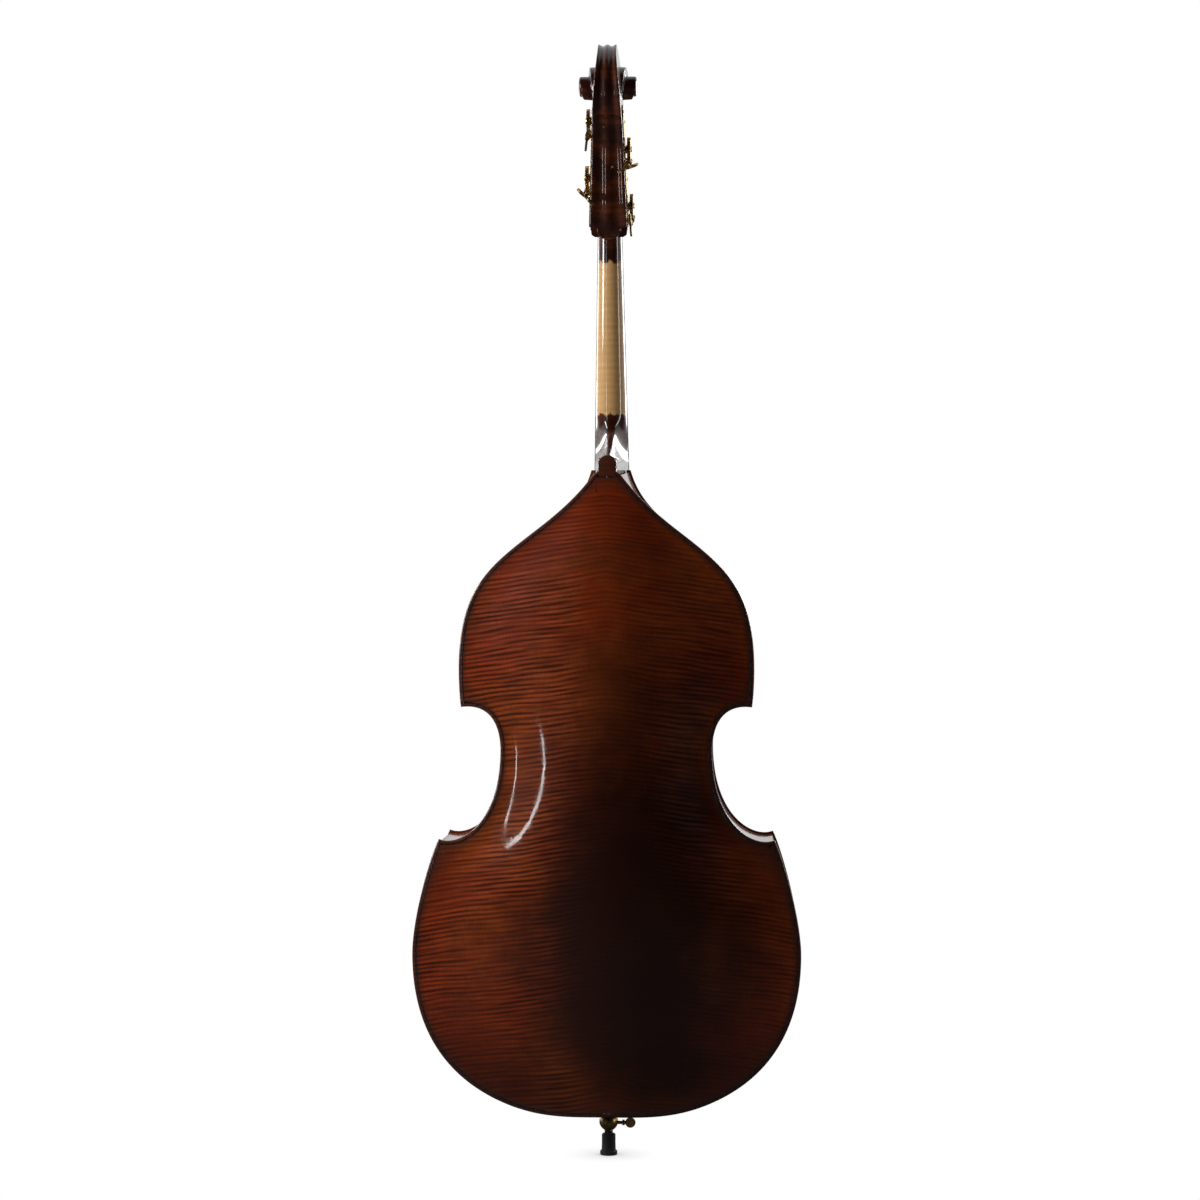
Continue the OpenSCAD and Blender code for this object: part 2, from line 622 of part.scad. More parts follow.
// Wheel centre plane of tuner n, as a distance from the middle
function wheel_x(n) = cheek(post_h(n)) + plate_t + wheel_off;
function worm_h(n) = post_h(n) - mesh_gap;
tang = 7;
module on_side(n) { mirror([side(n) > 0 ? 0 : 1, 0, 0]) children(); }
bearing_r = 5.6;
bearing_t = 5;
bearing_y = [4, 35.5];
module tuner_plate(s) {
    outline = concat([[3, 8], [16, 3], [44, 6], [50, 20]], [[49, 120], [44, 200]],
        [[36, 212], [20, 216], [8, 212], [1, 200]]);
    difference() {
        union() {
            cheek_frame(s) translate([glue, 0, 0]) rotate([90, 0, 90])
                linear_extrude(height = plate_t - glue) polygon(outline);
            for (n = [0 : 3]) if (side(n) == s) mirror([s > 0 ? 0 : 1, 0, 0]) for (y = bearing_y) {
                translate([wheel_x(n) - wheel_off - 0.2, y, worm_h(n) - bearing_r])
                    cube([wheel_off + 0.2, bearing_t, 2 * bearing_r]);
                translate([wheel_x(n), y, worm_h(n)]) rotate([-90, 0, 0])
                    cylinder(r = bearing_r, h = bearing_t);
            }
        }
        for (n = [0 : 3]) if (side(n) == s) mirror([s > 0 ? 0 : 1, 0, 0]) {
            translate([0, post_y, post_h(n)]) rotate([0, 90, 0]) cylinder(r = post_r + 0.1, h = 60);
            translate([wheel_x(n), 0, worm_h(n)]) rotate([-90, 0, 0])
                cylinder(r = worm_root + 0.07, h = 60);
        }
        cheek_frame(s) for (p = plate_screws)
            translate([-2, p[0], p[1]]) rotate([0, 90, 0]) cylinder(r = screw_bore_r, h = 8);
    }
}
module tuner_plate_treble() { color(brass) head_frame() tuner_plate(1); }
module tuner_plate_bass() { color(brass) head_frame() tuner_plate(-1); }
module tuner_plate_screws() {
    color(brass) head_frame() for (s = [1, -1]) cheek_frame(s) for (p = plate_screws)
        translate([0, p[0], p[1]]) rotate([0, 90, 0]) {
            translate([0, 0, -8]) cylinder(r = screw_r, h = 8 + plate_t + 0.5);
            translate([0, 0, plate_t + glue]) cylinder(r1 = 3, r2 = 2, h = 1.2);
        }
}
module post(n) {
    far = cheek(post_h(n)) - post_end_gap;
    color(brass) head_frame() on_side(n) translate([0, post_y, post_h(n)]) difference() {
        union() {
            translate([-far, 0, 0]) rotate([0, 90, 0])
                cylinder(r = post_r, h = far + wheel_x(n) - wheel_t / 2);
            translate([wheel_x(n) - wheel_t / 2 - shoulder_t, 0, 0]) rotate([0, 90, 0])
                cylinder(r = shoulder_r, h = shoulder_t);
            translate([wheel_x(n) - wheel_t / 2 - 1, -tang / 2, -tang / 2])
                cube([wheel_t + 1, tang, tang]);
        }
        translate([wheel_x(n) - 6, 0, 0]) rotate([0, 90, 0]) cylinder(r = wheel_screw_r + 0.05, h = 20);
    }
}
// A worm wheel with slanted teeth; one tooth points down at the worm
module wheel(n) {
    p = 360 / wheel_teeth;
    r0 = wheel_r - tooth_down;
    r1 = wheel_r + tooth_up;
    slant = worm_pitch / (2 * PI * worm_r) * wheel_t / wheel_r * 180 / PI;
    color(brass) head_frame() translate([side(n) * wheel_x(n), post_y, post_h(n)])
        difference() {
            translate([-wheel_t / 2, 0, 0]) rotate([90, 0, 90]) rotate([0, 0, -90 - slant / 2])
                linear_extrude(height = wheel_t, twist = -slant, slices = 1)
                    polygon([for (k = [0 : wheel_teeth - 1]) each [
                        dir(p * (k - 0.26), r0), dir(p * (k - 0.11), r1),
                        dir(p * (k + 0.11), r1), dir(p * (k + 0.26), r0)]]);
            translate([-20, -tang / 2 - 0.06, -tang / 2 - 0.06])
                cube([40, tang + 0.12, tang + 0.12]);
        }
}
module wheel_screw(n) {
    color(brass) head_frame() on_side(n) translate([wheel_x(n), post_y, post_h(n)])
        rotate([0, 90, 0]) difference() {
            union() {
                translate([0, 0, -5]) cylinder(r = wheel_screw_r, h = 10);
                translate([0, 0, wheel_t / 2 + glue]) cylinder(r1 = 6, r2 = 4.6, h = 2);
            }
            translate([-8, -0.6, wheel_t / 2 + 1]) cube([16, 1.2, 3]);
        }
}
thread_turns = 4;
worm_back = 72;
// The thread is one ridge wound along the shaft; its gap faces the wheel tooth
module worm(n) {
    steps = 14;
    m = thread_turns * steps;
    low_w = 1.3;
    high_w = 0.6;
    inner = worm_root - 0.4;
    color(brass) head_frame() translate([side(n) * wheel_x(n), post_y, worm_h(n)])
        rotate([-90, 0, 0]) {
            translate([0, 0, -post_y + bearing_y[0] - 1]) cylinder(r = worm_root, h = worm_back);
            polyhedron(
                points = [for (k = [0 : m]) let(
                    a = 90 + 360 * (k - m / 2) / steps,
                    z = worm_pitch * (k - m / 2) / steps,
                    f = min(1, min(k, m - k) / 3),
                    c = worm_root + 0.05 + (worm_crest - worm_root - 0.05) * f
                ) each [[inner * cos(a), inner * sin(a), z - low_w],
                    [c * cos(a), c * sin(a), z - high_w],
                    [c * cos(a), c * sin(a), z + high_w],
                    [inner * cos(a), inner * sin(a), z + low_w]]],
                faces = concat([for (k = [0 : m - 1]) for (j = [0 : 3]) let(
                    a = 4 * k + j, b = 4 * k + (j + 1) % 4) each [[a, b, b + 4], [a, b + 4, a + 4]]],
                    [[3, 2, 1, 0], [4 * m, 4 * m + 1, 4 * m + 2, 4 * m + 3]]),
                convexity = 8);
        }
}
// Resting turn of each key about its shaft, for E, G, A, D
key_turn = [86, 45, 158, 97];
key_t = 3.6;
key_y = bearing_y[0] - 1 + worm_back;
module key(n) {
    color(brass) head_frame() translate([side(n) * wheel_x(n), key_y, worm_h(n)])
        rotate([0, -key_turn[n], 0]) difference() {
            union() {
                translate([0, -8, 0]) rotate([-90, 0, 0]) cylinder(r = 3.8, h = 12);
                translate([0, 0, key_t / 2]) rotate([180, 0, 0]) mirror([0, 1, 0])
                    linear_extrude(height = key_t) {
                        for (m = [-1, 1]) translate([m * 10.5, 14]) circle(r = 9.5);
                        translate([0, 6]) circle(r = 6);
                        translate([-8, 4]) square([16, 10]);
                    }
            }
            translate([0, -9, 0]) rotate([-90, 0, 0]) cylinder(r = worm_root + glue, h = 9.1);
        }
}
module post_e() { post(0); }
module post_g() { post(1); }
module post_a() { post(2); }
module post_d() { post(3); }
module wheel_e() { wheel(0); }
module wheel_g() { wheel(1); }
module wheel_a() { wheel(2); }
module wheel_d() { wheel(3); }
module wheel_screw_e() { wheel_screw(0); }
module wheel_screw_g() { wheel_screw(1); }
module wheel_screw_a() { wheel_screw(2); }
module wheel_screw_d() { wheel_screw(3); }
module worm_e() { worm(0); }
module worm_g() { worm(1); }
module worm_a() { worm(2); }
module worm_d() { worm(3); }
module key_e() { key(0); }
module key_g() { key(1); }
module key_a() { key(2); }
module key_d() { key(3); }

// ---- strings, bridge and tailpiece ----
// Index of the string on each post, counted from G to E
string_of = [3, 0, 2, 1];
function nut_x(k) = 15 - 10 * k;
function bridge_x(k) = 40.5 - 27 * k;
function tail_x(k) = 27 - 18 * k;
function wrap_x(k) = [13, 5, -5, -10][k];
function turned(p, a) = [p[0], p[1] * cos(a) - p[2] * sin(a), p[1] * sin(a) + p[2] * cos(a)];
function neck_pt(p) = [0, glue_y, nut_z] + turned(p, -neck_lean);
function head_pt(p) = [0, glue_y, nut_z - head_drop] + turned(p, -head_lean);
bridge_u = 290.2;
bridge_arch = 70;
function bridge_top(x) = bridge_u - bridge_arch + sqrt(pow(bridge_arch, 2) - x * x);
saddle_u = 118;
tail_lean = atan((bridge_u - saddle_u) / (bridge_z - foot_gap - 9));
function tail_pt(p) = [0, -saddle_u, foot_gap + 9] + turned(p, tail_lean);
tail_top = 380;
tail_low = 18;
string_seat = 0.05;
// Distance of the tailpiece's face from its middle plane, and of each string's ball behind it
tail_face = 7;
ball_depth = 11;
string_ball_r = 4;
// A round wire between two points
module wire(p, q, r) {
    v = q - p;
    translate(p) rotate([0, acos(v[2] / norm(v)), atan2(v[1], v[0])]) cylinder(r = r, h = norm(v),
        $fn = 16);
}
module bead(p, r) { translate(p) sphere(r = r, $fn = 16); }
function string_r(k) = string_diam[k] / 2;
// Height of a string's centre above the nut's and the bridge's top, as a share of its radius
string_rest = 0.3;
nut_seat = 3;
function at_nut(k) = neck_pt([nut_x(k),
    -board_top(nut_x(k)) - nut_rise - string_rest * string_r(k), nut_seat]);
function at_bridge(k) = [bridge_x(k),
    -bridge_top(bridge_x(k)) - string_rest * string_r(k), bridge_z];
// The string meets its winding on the side facing the nut's front
function at_post(k) = head_pt([wrap_x(k), post_y - post_r - string_seat - 3 * string_r(k),
    post_h([1, 3, 2, 0][k]) - 1]);
function at_tail(k, y) = tail_pt([tail_x(k), y, tail_top - 8]);
module string_line(k) {
    r = string_r(k);
    tail_p = at_tail(k, -tail_face - r);
    ball_p = at_tail(k, ball_depth);
    wire(at_nut(k), at_bridge(k), r);
    wire(at_nut(k), at_post(k), r * 0.96);
    wire(at_bridge(k), tail_p, r * 0.96);
    wire(tail_p, ball_p, r * 0.96);
    bead(at_nut(k), r * 1.04);
    bead(at_bridge(k), r * 1.04);
    bead(tail_p, r * 1.04);
    bead(ball_p, string_ball_r);
}
// The grooves that the strings lie in where they cross the nut and the bridge
groove_room = 0.12;
groove_swell = 1.15;
module string_grooves() {
    for (k = [0 : 3]) {
        r = string_r(k) + groove_room;
        wire(at_nut(k), at_bridge(k), r);
        wire(at_nut(k), at_post(k), r);
        wire(at_bridge(k), at_tail(k, -tail_face - string_r(k)), r);
        bead(at_nut(k), r * groove_swell);
        bead(at_bridge(k), r * groove_swell);
    }
}
steel = [0.62, 0.62, 0.64];
module string_g() { color(steel) string_line(0); }
module string_d() { color(steel) string_line(1); }
module string_a() { color(steel) string_line(2); }
module string_e() { color(steel) string_line(3); }
// The string's turns on its post
module string_wrap(n) {
    k = string_of[n];
    r = string_diam[k] / 2;
    turns = 5;
    color(steel) head_frame() translate([wrap_x(k), post_y, post_h(n)]) rotate([0, 90, 0])
        rotate_extrude() polygon(concat(
            [[post_r + string_seat, turns * r], [post_r + string_seat, -turns * r]],
            [for (c = [0 : turns - 1]) for (a = [-90 : 30 : 60])
                [post_r + string_seat + r + r * cos(a), (2 * c + 1 - turns) * r + r * sin(a)]]));
}
module string_wrap_e() { string_wrap(0); }
module string_wrap_g() { string_wrap(1); }
module string_wrap_a() { string_wrap(2); }
module string_wrap_d() { string_wrap(3); }

foot_in_u = 133.05;
foot_out_u = 126.85;
module bridge() {
    right = concat([for (x = [0 : 10 : 50]) [x, bridge_top(x)]],
        [[53, 266], [48, 256], [46, 246], [52, 238], [64, 232], [66, 222], [60, 214], [50, 206],
            [52, 194], [62, 186], [64, 172], [58, 164], [66, 154], [80, 146], [86, 138],
            [84, foot_out_u], [46, foot_in_u], [42, 142], [34, 152], [20, 162], [0, 166]]);
    color([0.80, 0.62, 0.38])
    difference() {
        intersection() {
            translate([0, 0, bridge_z - 20]) linear_extrude(height = 40)
                polygon([for (p = concat(right, [for (k = [len(right) - 2 : -1 : 1]) flip(right[k])]))
                    [p[0], -p[1]]]);
            translate([-100, 0, bridge_z]) rotate([90, 0, 90]) linear_extrude(height = 200)
                polygon([[-120, -9], [-120, 13], [-300, 4], [-300, -4]]);
        }
        for (m = [-1, 1]) {
            translate([m * 30, -216, bridge_z - 30]) cylinder(r = 9, h = 60);
            translate([m * 8.5, -232, bridge_z - 30]) cylinder(r = 9.5, h = 60);
        }
        translate([0, -220, bridge_z - 30]) rotate([0, 0, 45])
            translate([-9, -9, 0]) cube([18, 18, 60]);
        string_grooves();
    }
}
module tail_frame() {
    translate([0, -saddle_u, foot_gap + 9]) rotate([tail_lean, 0, 0]) children();
}
wire_r = 2;
wire_x = 12;
module tailpiece() {
    color([0.05, 0.045, 0.045]) difference() {
        tail_frame() difference() {
            intersection() {
                rotate([90, 0, 0]) translate([0, 0, -5]) linear_extrude(height = 16)
                    polygon([[-20, tail_low], [20, tail_low], [43, tail_top - 16], [40, tail_top - 4],
                        [30, tail_top], [-30, tail_top], [-40, tail_top - 4], [-43, tail_top - 16]]);
                translate([0, 96, 0]) cylinder(r = 102, h = 400, $fn = 96);
            }
            for (k = [0 : 3]) translate([tail_x(k), 20, tail_top - 8]) rotate([90, 0, 0])
                cylinder(r = 2.6, h = 40);
        }
        for (m = [-1, 1]) wire(wire_bend(m), wire_end(m) + 2 * unit(wire_end(m) - wire_bend(m)),
            wire_r + 0.1);
    }
}
loop_z = 79.4;
loop_y = -123.1;
// The wire's end inside the tailpiece, and its bend over the saddle
function wire_end(m) = tail_pt([m * wire_x, 0, 42]);
function wire_bend(m) = [m * wire_x, loop_y, foot_gap + 9];
module tail_wire() {
    color([0.30, 0.30, 0.32]) {
        for (m = [-1, 1]) {
            b = wire_bend(m);
            c = [m * wire_x, loop_y, loop_z];
            wire(wire_end(m), b, wire_r * 0.97);
            wire(b, c, wire_r * 0.95);
            wire(c, [m * wire_x, 0, loop_z], wire_r * 0.97);
            bead(b, wire_r * 1.02);
            bead(c, wire_r * 1.02);
        }
        translate([0, 0, loop_z]) rotate_extrude(angle = 180) translate([wire_x, 0])
            circle(r = wire_r);
    }
}
module saddle() {
    color([0.05, 0.045, 0.045])
        translate([-saddle_w / 2 + glue, 0, 0]) rotate([90, 0, 90])
            linear_extrude(height = saddle_w - 2 * glue) polygon([
                [-half_depth - plate_gap, saddle_top - glue], [-half_depth - plate_gap, foot_gap + 1],
                [-saddle_u - 2, loop_z + wire_r + 0.1], [loop_y + wire_r + 0.1, foot_gap + 1],
                [loop_y + wire_r + 0.1, saddle_top - 6], [-saddle_u, saddle_top - glue]]);
}

// ---- endpin ----
rib_low = foot_gap + overhang;
ball_z = 58;
ball_r = 16.5;
screw_z = 56;
clamp_r = 3;
module endpin_collar() {
    color(brass) difference() {
        rotate_extrude() polygon(concat(
            [[rod_r + glue, 43.6], [9, 43.6]],
            [for (a = [-58 : 14 : 54]) [0, ball_z] + dir(a, ball_r)],
            [[9.9, 76], [9.9, loop_z + 2.2], [19, loop_z + 2.6], [19, rib_low - 1.5],
                [17.5, rib_low - glue], [collar_sleeve_r, rib_low - glue],
                [collar_sleeve_r, foot_gap + end_block_h - 2],
                [rod_r + glue, foot_gap + end_block_h - 2]]));
        translate([-20, 0, screw_z]) rotate([0, 90, 0]) cylinder(r = clamp_r + glue, h = 20);
    }
}
tip_h = 37;
tip_top = 43.4;
tip_bore = 14;
module endpin_rod() {
    color([0.70, 0.70, 0.72]) translate([0, 0, tip_bore + 0.1]) cylinder(r = rod_r, h = rod_len);
}
module rubber_tip() {
    color([0.06, 0.06, 0.06]) rotate_extrude() polygon([
        [0, 0], [14, 0], [15, 1], [15, 6.5], [14, 7.5], [12.4, 8.2], [12, 20], [12, tip_h - 1.5],
        [10.5, tip_h], [7.3, tip_h], [7.3, tip_top], [rod_r + glue, tip_top],
        [rod_r + glue, tip_bore], [0, tip_bore]]);
}
module clamp_screw() {
    color(brass) {
        translate([-31, 0, screw_z]) rotate([0, 90, 0]) cylinder(r = clamp_r, h = 31 - rod_r - 0.15);
        translate([-28, 0, screw_z]) rotate([0, 90, 0]) cylinder(r = 5, h = 4);
        translate([-38, 1.6, screw_z]) rotate([90, 0, 0]) cylinder(r = 9, h = 3.2);
    }
}

// ---- one line per sub-part ----
back_plate();
front_plate();
back_purfling();
front_purfling();
upper_rib_treble();
upper_rib_bass();
centre_rib_treble();
centre_rib_bass();
lower_rib_treble();
lower_rib_bass();
back_linings();
front_linings();
neck_block();
end_block();
corner_blocks();
bass_bar();
soundpost();
neck();
fingerboard();
nut();
tuner_plate_treble();
tuner_plate_bass();
tuner_plate_screws();
post_e();
post_g();
post_a();
post_d();
wheel_e();
wheel_g();
wheel_a();
wheel_d();
wheel_screw_e();
wheel_screw_g();
wheel_screw_a();
wheel_screw_d();
worm_e();
worm_g();
worm_a();
worm_d();
key_e();
key_g();
key_a();
key_d();
string_wrap_e();
string_wrap_g();
string_wrap_a();
string_wrap_d();
string_e();
string_g();
string_a();
string_d();
bridge();
tailpiece();
tail_wire();
saddle();
endpin_collar();
endpin_rod();
rubber_tip();
clamp_screw();
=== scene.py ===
import math

import bmesh
import bpy
import numpy as np
from mathutils import Matrix, Vector


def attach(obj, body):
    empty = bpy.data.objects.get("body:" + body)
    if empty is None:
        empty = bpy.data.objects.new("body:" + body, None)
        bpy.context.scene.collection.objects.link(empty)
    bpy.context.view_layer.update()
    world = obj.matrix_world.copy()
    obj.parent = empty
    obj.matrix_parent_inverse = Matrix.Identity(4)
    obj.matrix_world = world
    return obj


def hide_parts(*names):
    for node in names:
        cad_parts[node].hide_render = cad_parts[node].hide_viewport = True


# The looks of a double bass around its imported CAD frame.
# Outlines are drawn in millimetres: x outwards, y backwards, z up. Meshes are stored in metres.

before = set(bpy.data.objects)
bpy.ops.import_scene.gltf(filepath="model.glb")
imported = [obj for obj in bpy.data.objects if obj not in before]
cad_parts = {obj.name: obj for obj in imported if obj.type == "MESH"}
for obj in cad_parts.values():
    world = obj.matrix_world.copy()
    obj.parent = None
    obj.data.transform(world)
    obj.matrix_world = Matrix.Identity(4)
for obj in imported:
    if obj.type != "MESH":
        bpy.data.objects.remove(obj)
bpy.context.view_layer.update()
MM = 0.001

# ---- curves ----


def heading(angle, length):
    a = math.radians(angle)
    return np.array([math.cos(a), math.sin(a)]) * length


def arc_to(p, a, la, q, b, lb):
    """A cubic from p leaving at angle a to q arriving at angle b, with handle lengths la and lb."""
    p, q = np.array(p, float), np.array(q, float)
    return [p, p + heading(a, la), q - heading(b, lb), q]


def run(curve, n):
    """n points of a cubic, its last point left to the next curve."""
    t = np.linspace(0, 1, n, endpoint=False)[:, None]
    a, b, c, d = (np.array(p, float) for p in curve)
    return (1 - t) ** 3 * a + 3 * (1 - t) ** 2 * t * b + 3 * (1 - t) * t * t * c + t ** 3 * d


def ease(t):
    t = np.clip(t, 0, 1)
    return t * t * (3 - 2 * t)


def inward(h, d):
    """A half outline moved inwards by d, with sharp mitres, mirrored across x = 0 at both ends."""
    before = np.vstack([h[1] * [-1, 1], h[:-1]])
    after = np.vstack([h[1:], h[-2] * [-1, 1]])
    u = (h - before) / np.linalg.norm(h - before, axis=1)[:, None]
    v = (after - h) / np.linalg.norm(after - h, axis=1)[:, None]
    nu = np.stack([-u[:, 1], u[:, 0]], 1)
    nv = np.stack([-v[:, 1], v[:, 0]], 1)
    return h + d * (nu + nv) / (1 + (nu * nv).sum(1))[:, None]


# ---- body outline, right half ----
FINE = 4
CUTS = [FINE * n for n in (5, 9, 7, 9, 8, 3, 11, 7, 5)]
LOWER_I, UPPER_I, NECK_I, LAST_I = sum(CUTS[:3]), sum(CUTS[:5]), sum(CUTS[:8]), sum(CUTS)
LOWER, WAIST, UPPER = 334.0, 182.0, 254.0
FOOT, TOP, FRONT_TOP = 83.0, 1190.0, 1203.0
LOWER_CORNER, UPPER_CORNER = (LOWER - 45.5, 560), (UPPER - 4, 787)
SHOULDER = (118.5, 1094)
BUTTON_R, BUTTON_Z = 16.4, TOP + 16


def bouts():
    turn = (190.3, 113.3)
    return np.vstack([
        run(arc_to((0, FOOT), 0, 65.4, turn, 25.9, 76.9), CUTS[0]),
        run(arc_to(turn, 25.9, 97.6, (LOWER, 362.4), 90, 127.4), CUTS[1]),
        run(arc_to((LOWER, 362.4), 90, 66.2, LOWER_CORNER, 118, 25.4), CUTS[2]),
        run(arc_to(LOWER_CORNER, 203.5, 35.5, (WAIST, 714), 90, 132), CUTS[3]),
        run(arc_to((WAIST, 714), 90, 8.4, UPPER_CORNER, -7.7, 69.4), CUTS[4]),
        run(arc_to(UPPER_CORNER, 81.6, 20, (UPPER, 852), 90, 20), CUTS[5]),
        run(arc_to((UPPER, 852), 90, 142, SHOULDER, 142, 102.5), CUTS[6]),
    ])


def neck_edge(w, z):
    k = np.arange(CUTS[8] + 1) / CUTS[8]
    return np.stack([w * (1 - k), np.full(len(k), float(z))], 1)


BACK = np.vstack([bouts(), run(arc_to(SHOULDER, 142, 70, (22, TOP), 127.3, 35), CUTS[7]),
                  neck_edge(22, TOP)])
FRONT = np.vstack([bouts(), run(arc_to(SHOULDER, 142, 60, (35, FRONT_TOP), 106, 45), CUTS[7]),
                   neck_edge(35, FRONT_TOP)])


def button_edge():
    """The back's outline with its round button on top."""
    centre = np.array([0, BUTTON_Z])
    neck_pt = centre + heading(-36, BUTTON_R)
    fillet = FINE
    arc = [centre + heading(a, BUTTON_R) for a in np.linspace(-36, 90, CUTS[8] - fillet + 1)]
    curve = [np.array([22, TOP]), np.array([17, TOP + 3.0]), neck_pt + [-0.4, -2.4], neck_pt]
    return np.vstack([BACK[:NECK_I], run(curve, fillet), arc])


def arch_half(w, z):
    """Where the arching starts: a smooth curve that passes inside the corners, and dips at the neck."""
    inset = 15
    dip = 7
    low, up = (LOWER - 80, 524), (UPPER - 32, 814)
    k = 1 - np.arange(CUTS[8] + 1) / CUTS[8]
    return np.vstack([
        run(arc_to((0, FOOT + inset), 0, 62, (184, 127), 27, 70), CUTS[0]),
        run(arc_to((184, 127), 27, 90, (LOWER - inset, 362), 90, 120), CUTS[1]),
        run(arc_to((LOWER - inset, 362), 90, 70, low, 140, 45), CUTS[2]),
        run(arc_to(low, 140, 45, (WAIST - inset, 714), 90, 120), CUTS[3]),
        run(arc_to((WAIST - inset, 714), 90, 35, up, 38, 45), CUTS[4]),
        run(arc_to(up, 38, 12, (UPPER - inset, 858), 90, 20), CUTS[5]),
        run(arc_to((UPPER - inset, 858), 90, 130, (108, 1083), 142, 95), CUTS[6]),
        run(arc_to((108, 1083), 142, 55, (w, z - dip), 150, 30), CUTS[7]),
        np.stack([w * k, z - dip * k ** 2], 1),
    ])


# ---- arching ----
HALF_DEPTH, RIB_TAPER, TAPER_Z, TAPER_LEN = 100.0, 38.0, 930.0, 260.0


def back_y(z):
    return HALF_DEPTH - RIB_TAPER * (np.maximum(0, z - TAPER_Z) / TAPER_LEN) ** 2


class Arching:
    """Height of a carved arch: a membrane stretched over its outline, then shaped by its profile."""

    STEP = 4.0
    ROUNDS = 700
    END_EASE = 40.0

    def __init__(self, half, rise, profile):
        self.rise = rise
        self.z0, self.z1 = half[:, 1].min(), half[:, 1].max()
        self.x0 = -half[:, 0].max() - 3 * self.STEP
        self.zs = np.arange(self.z0 - 3 * self.STEP, self.z1 + 4 * self.STEP, self.STEP)
        xs = np.arange(self.x0, -self.x0 + self.STEP, self.STEP)
        order = np.argsort(half[:, 1], kind="stable")
        width = np.interp(self.zs, half[order, 1], half[order, 0], left=0, right=0)
        inside = np.abs(xs)[None, :] < width[:, None]
        ii, jj = np.indices(inside.shape)
        checks = [inside & ((ii + jj) % 2 == k) for k in (0, 1)]
        u = np.where(inside, 1.0, 0.0)
        over = 2 / (1 + math.sin(math.pi / inside.shape[1]))
        for _ in range(self.ROUNDS):
            for mask in checks:
                mean = np.zeros_like(u)
                mean[1:-1, 1:-1] = (u[2:, 1:-1] + u[:-2, 1:-1] + u[1:-1, 2:] + u[1:-1, :-2] + 1) / 4
                u[mask] += over * (mean[mask] - u[mask])
        top = np.maximum(u.max(1, keepdims=True), 1e-9)
        self.field = profile(np.clip(u / top, 0, 1))

    @staticmethod
    def weights(f):
        """Cubic B-spline weights of the four neighbours at fraction f."""
        return [(1 - f) ** 3 / 6, (3 * f ** 3 - 6 * f ** 2 + 4) / 6,
                (-3 * f ** 3 + 3 * f ** 2 + 3 * f + 1) / 6, f ** 3 / 6]

    def along(self, z):
        s = np.clip((z - self.z0) / (self.z1 - self.z0), 0, 1)
        reach = np.minimum(s, 1 - s) * (self.z1 - self.z0)
        return self.rise * (1 - np.abs(2 * s - 1) ** 2.6) * (1 - np.exp(-(reach / self.END_EASE) ** 2))

    def at(self, x, z):
        gx, gz = (x - self.x0) / self.STEP, (z - self.zs[0]) / self.STEP
        i = np.clip(np.floor(gz).astype(int), 1, self.field.shape[0] - 3)
        j = np.clip(np.floor(gx).astype(int), 1, self.field.shape[1] - 3)
        wz, wx = self.weights(gz - i), self.weights(gx - j)
        total = sum(wz[a] * wx[b] * self.field[i + a - 1, j + b - 1]
                    for a in range(4) for b in range(4))
        return total * self.along(z)


# Height of the dome's ridge that each height of the outline is drawn towards
RIDGE_LOW, RIDGE_LEN = 353, 424
RIDGE_FROM, RIDGE_OVER = 230, 720


def spine_z(z):
    return RIDGE_LOW + RIDGE_LEN * np.clip((z - RIDGE_FROM) / RIDGE_OVER, 0, 1)


def on_line(a, t):
    """The outline a moved by the share t towards the dome's ridge."""
    return np.stack([a[:, 0] * (1 - t), a[:, 1] + (spine_z(a[:, 1]) - a[:, 1]) * t], 1)


def loop3(h, y, side):
    """A closed loop of plate points from a half outline at distances y from the mid plane."""
    right = np.stack([h[:, 0], side * y, h[:, 1]], 1)
    return np.vstack([right, (right * [-1, 1, 1])[-2:0:-1]])


# ---- meshes ----


def new_object(name, verts, faces, scale=MM):
    mesh = bpy.data.meshes.new(name)
    mesh.from_pydata((np.asarray(verts, float) * scale).tolist(), [], faces)
    mesh.update()
    obj = bpy.data.objects.new(name, mesh)
    bpy.context.scene.collection.objects.link(obj)
    return obj


def tidy_normals(obj, merge=1e-6):
    bm = bmesh.new()
    bm.from_mesh(obj.data)
    bmesh.ops.remove_doubles(bm, verts=bm.verts, dist=merge)
    bmesh.ops.recalc_face_normals(bm, faces=bm.faces)
    bm.to_mesh(obj.data)
    bm.free()


def shade(obj, sharp_deg=40):
    obj.data.polygons.foreach_set("use_smooth", [True] * len(obj.data.polygons))
    obj.data.set_sharp_from_angle(angle=math.radians(sharp_deg))


def baked(obj):
    """Replaces an object's mesh by what its modifiers make of it."""
    bpy.context.view_layer.update()
    result = bpy.data.meshes.new_from_object(obj.evaluated_get(bpy.context.evaluated_depsgraph_get()))
    obj.modifiers.clear()
    old = obj.data
    obj.data = result
    bpy.data.meshes.remove(old)
    return obj


def boolean(obj, other, kind):
    m = obj.modifiers.new("cut", "BOOLEAN")
    m.operation = kind
    m.object = other
    m.solver = "EXACT"
    baked(obj)
    bpy.data.objects.remove(other)
    return obj


def finish_piece(obj, material, body, slot, *stands_for, sharp_deg=40):
    obj.data.materials.clear()
    obj.data.materials.append(material)
    shade(obj, sharp_deg)
    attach(obj, body)
    if stands_for:
        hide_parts(*stands_for)
    return obj


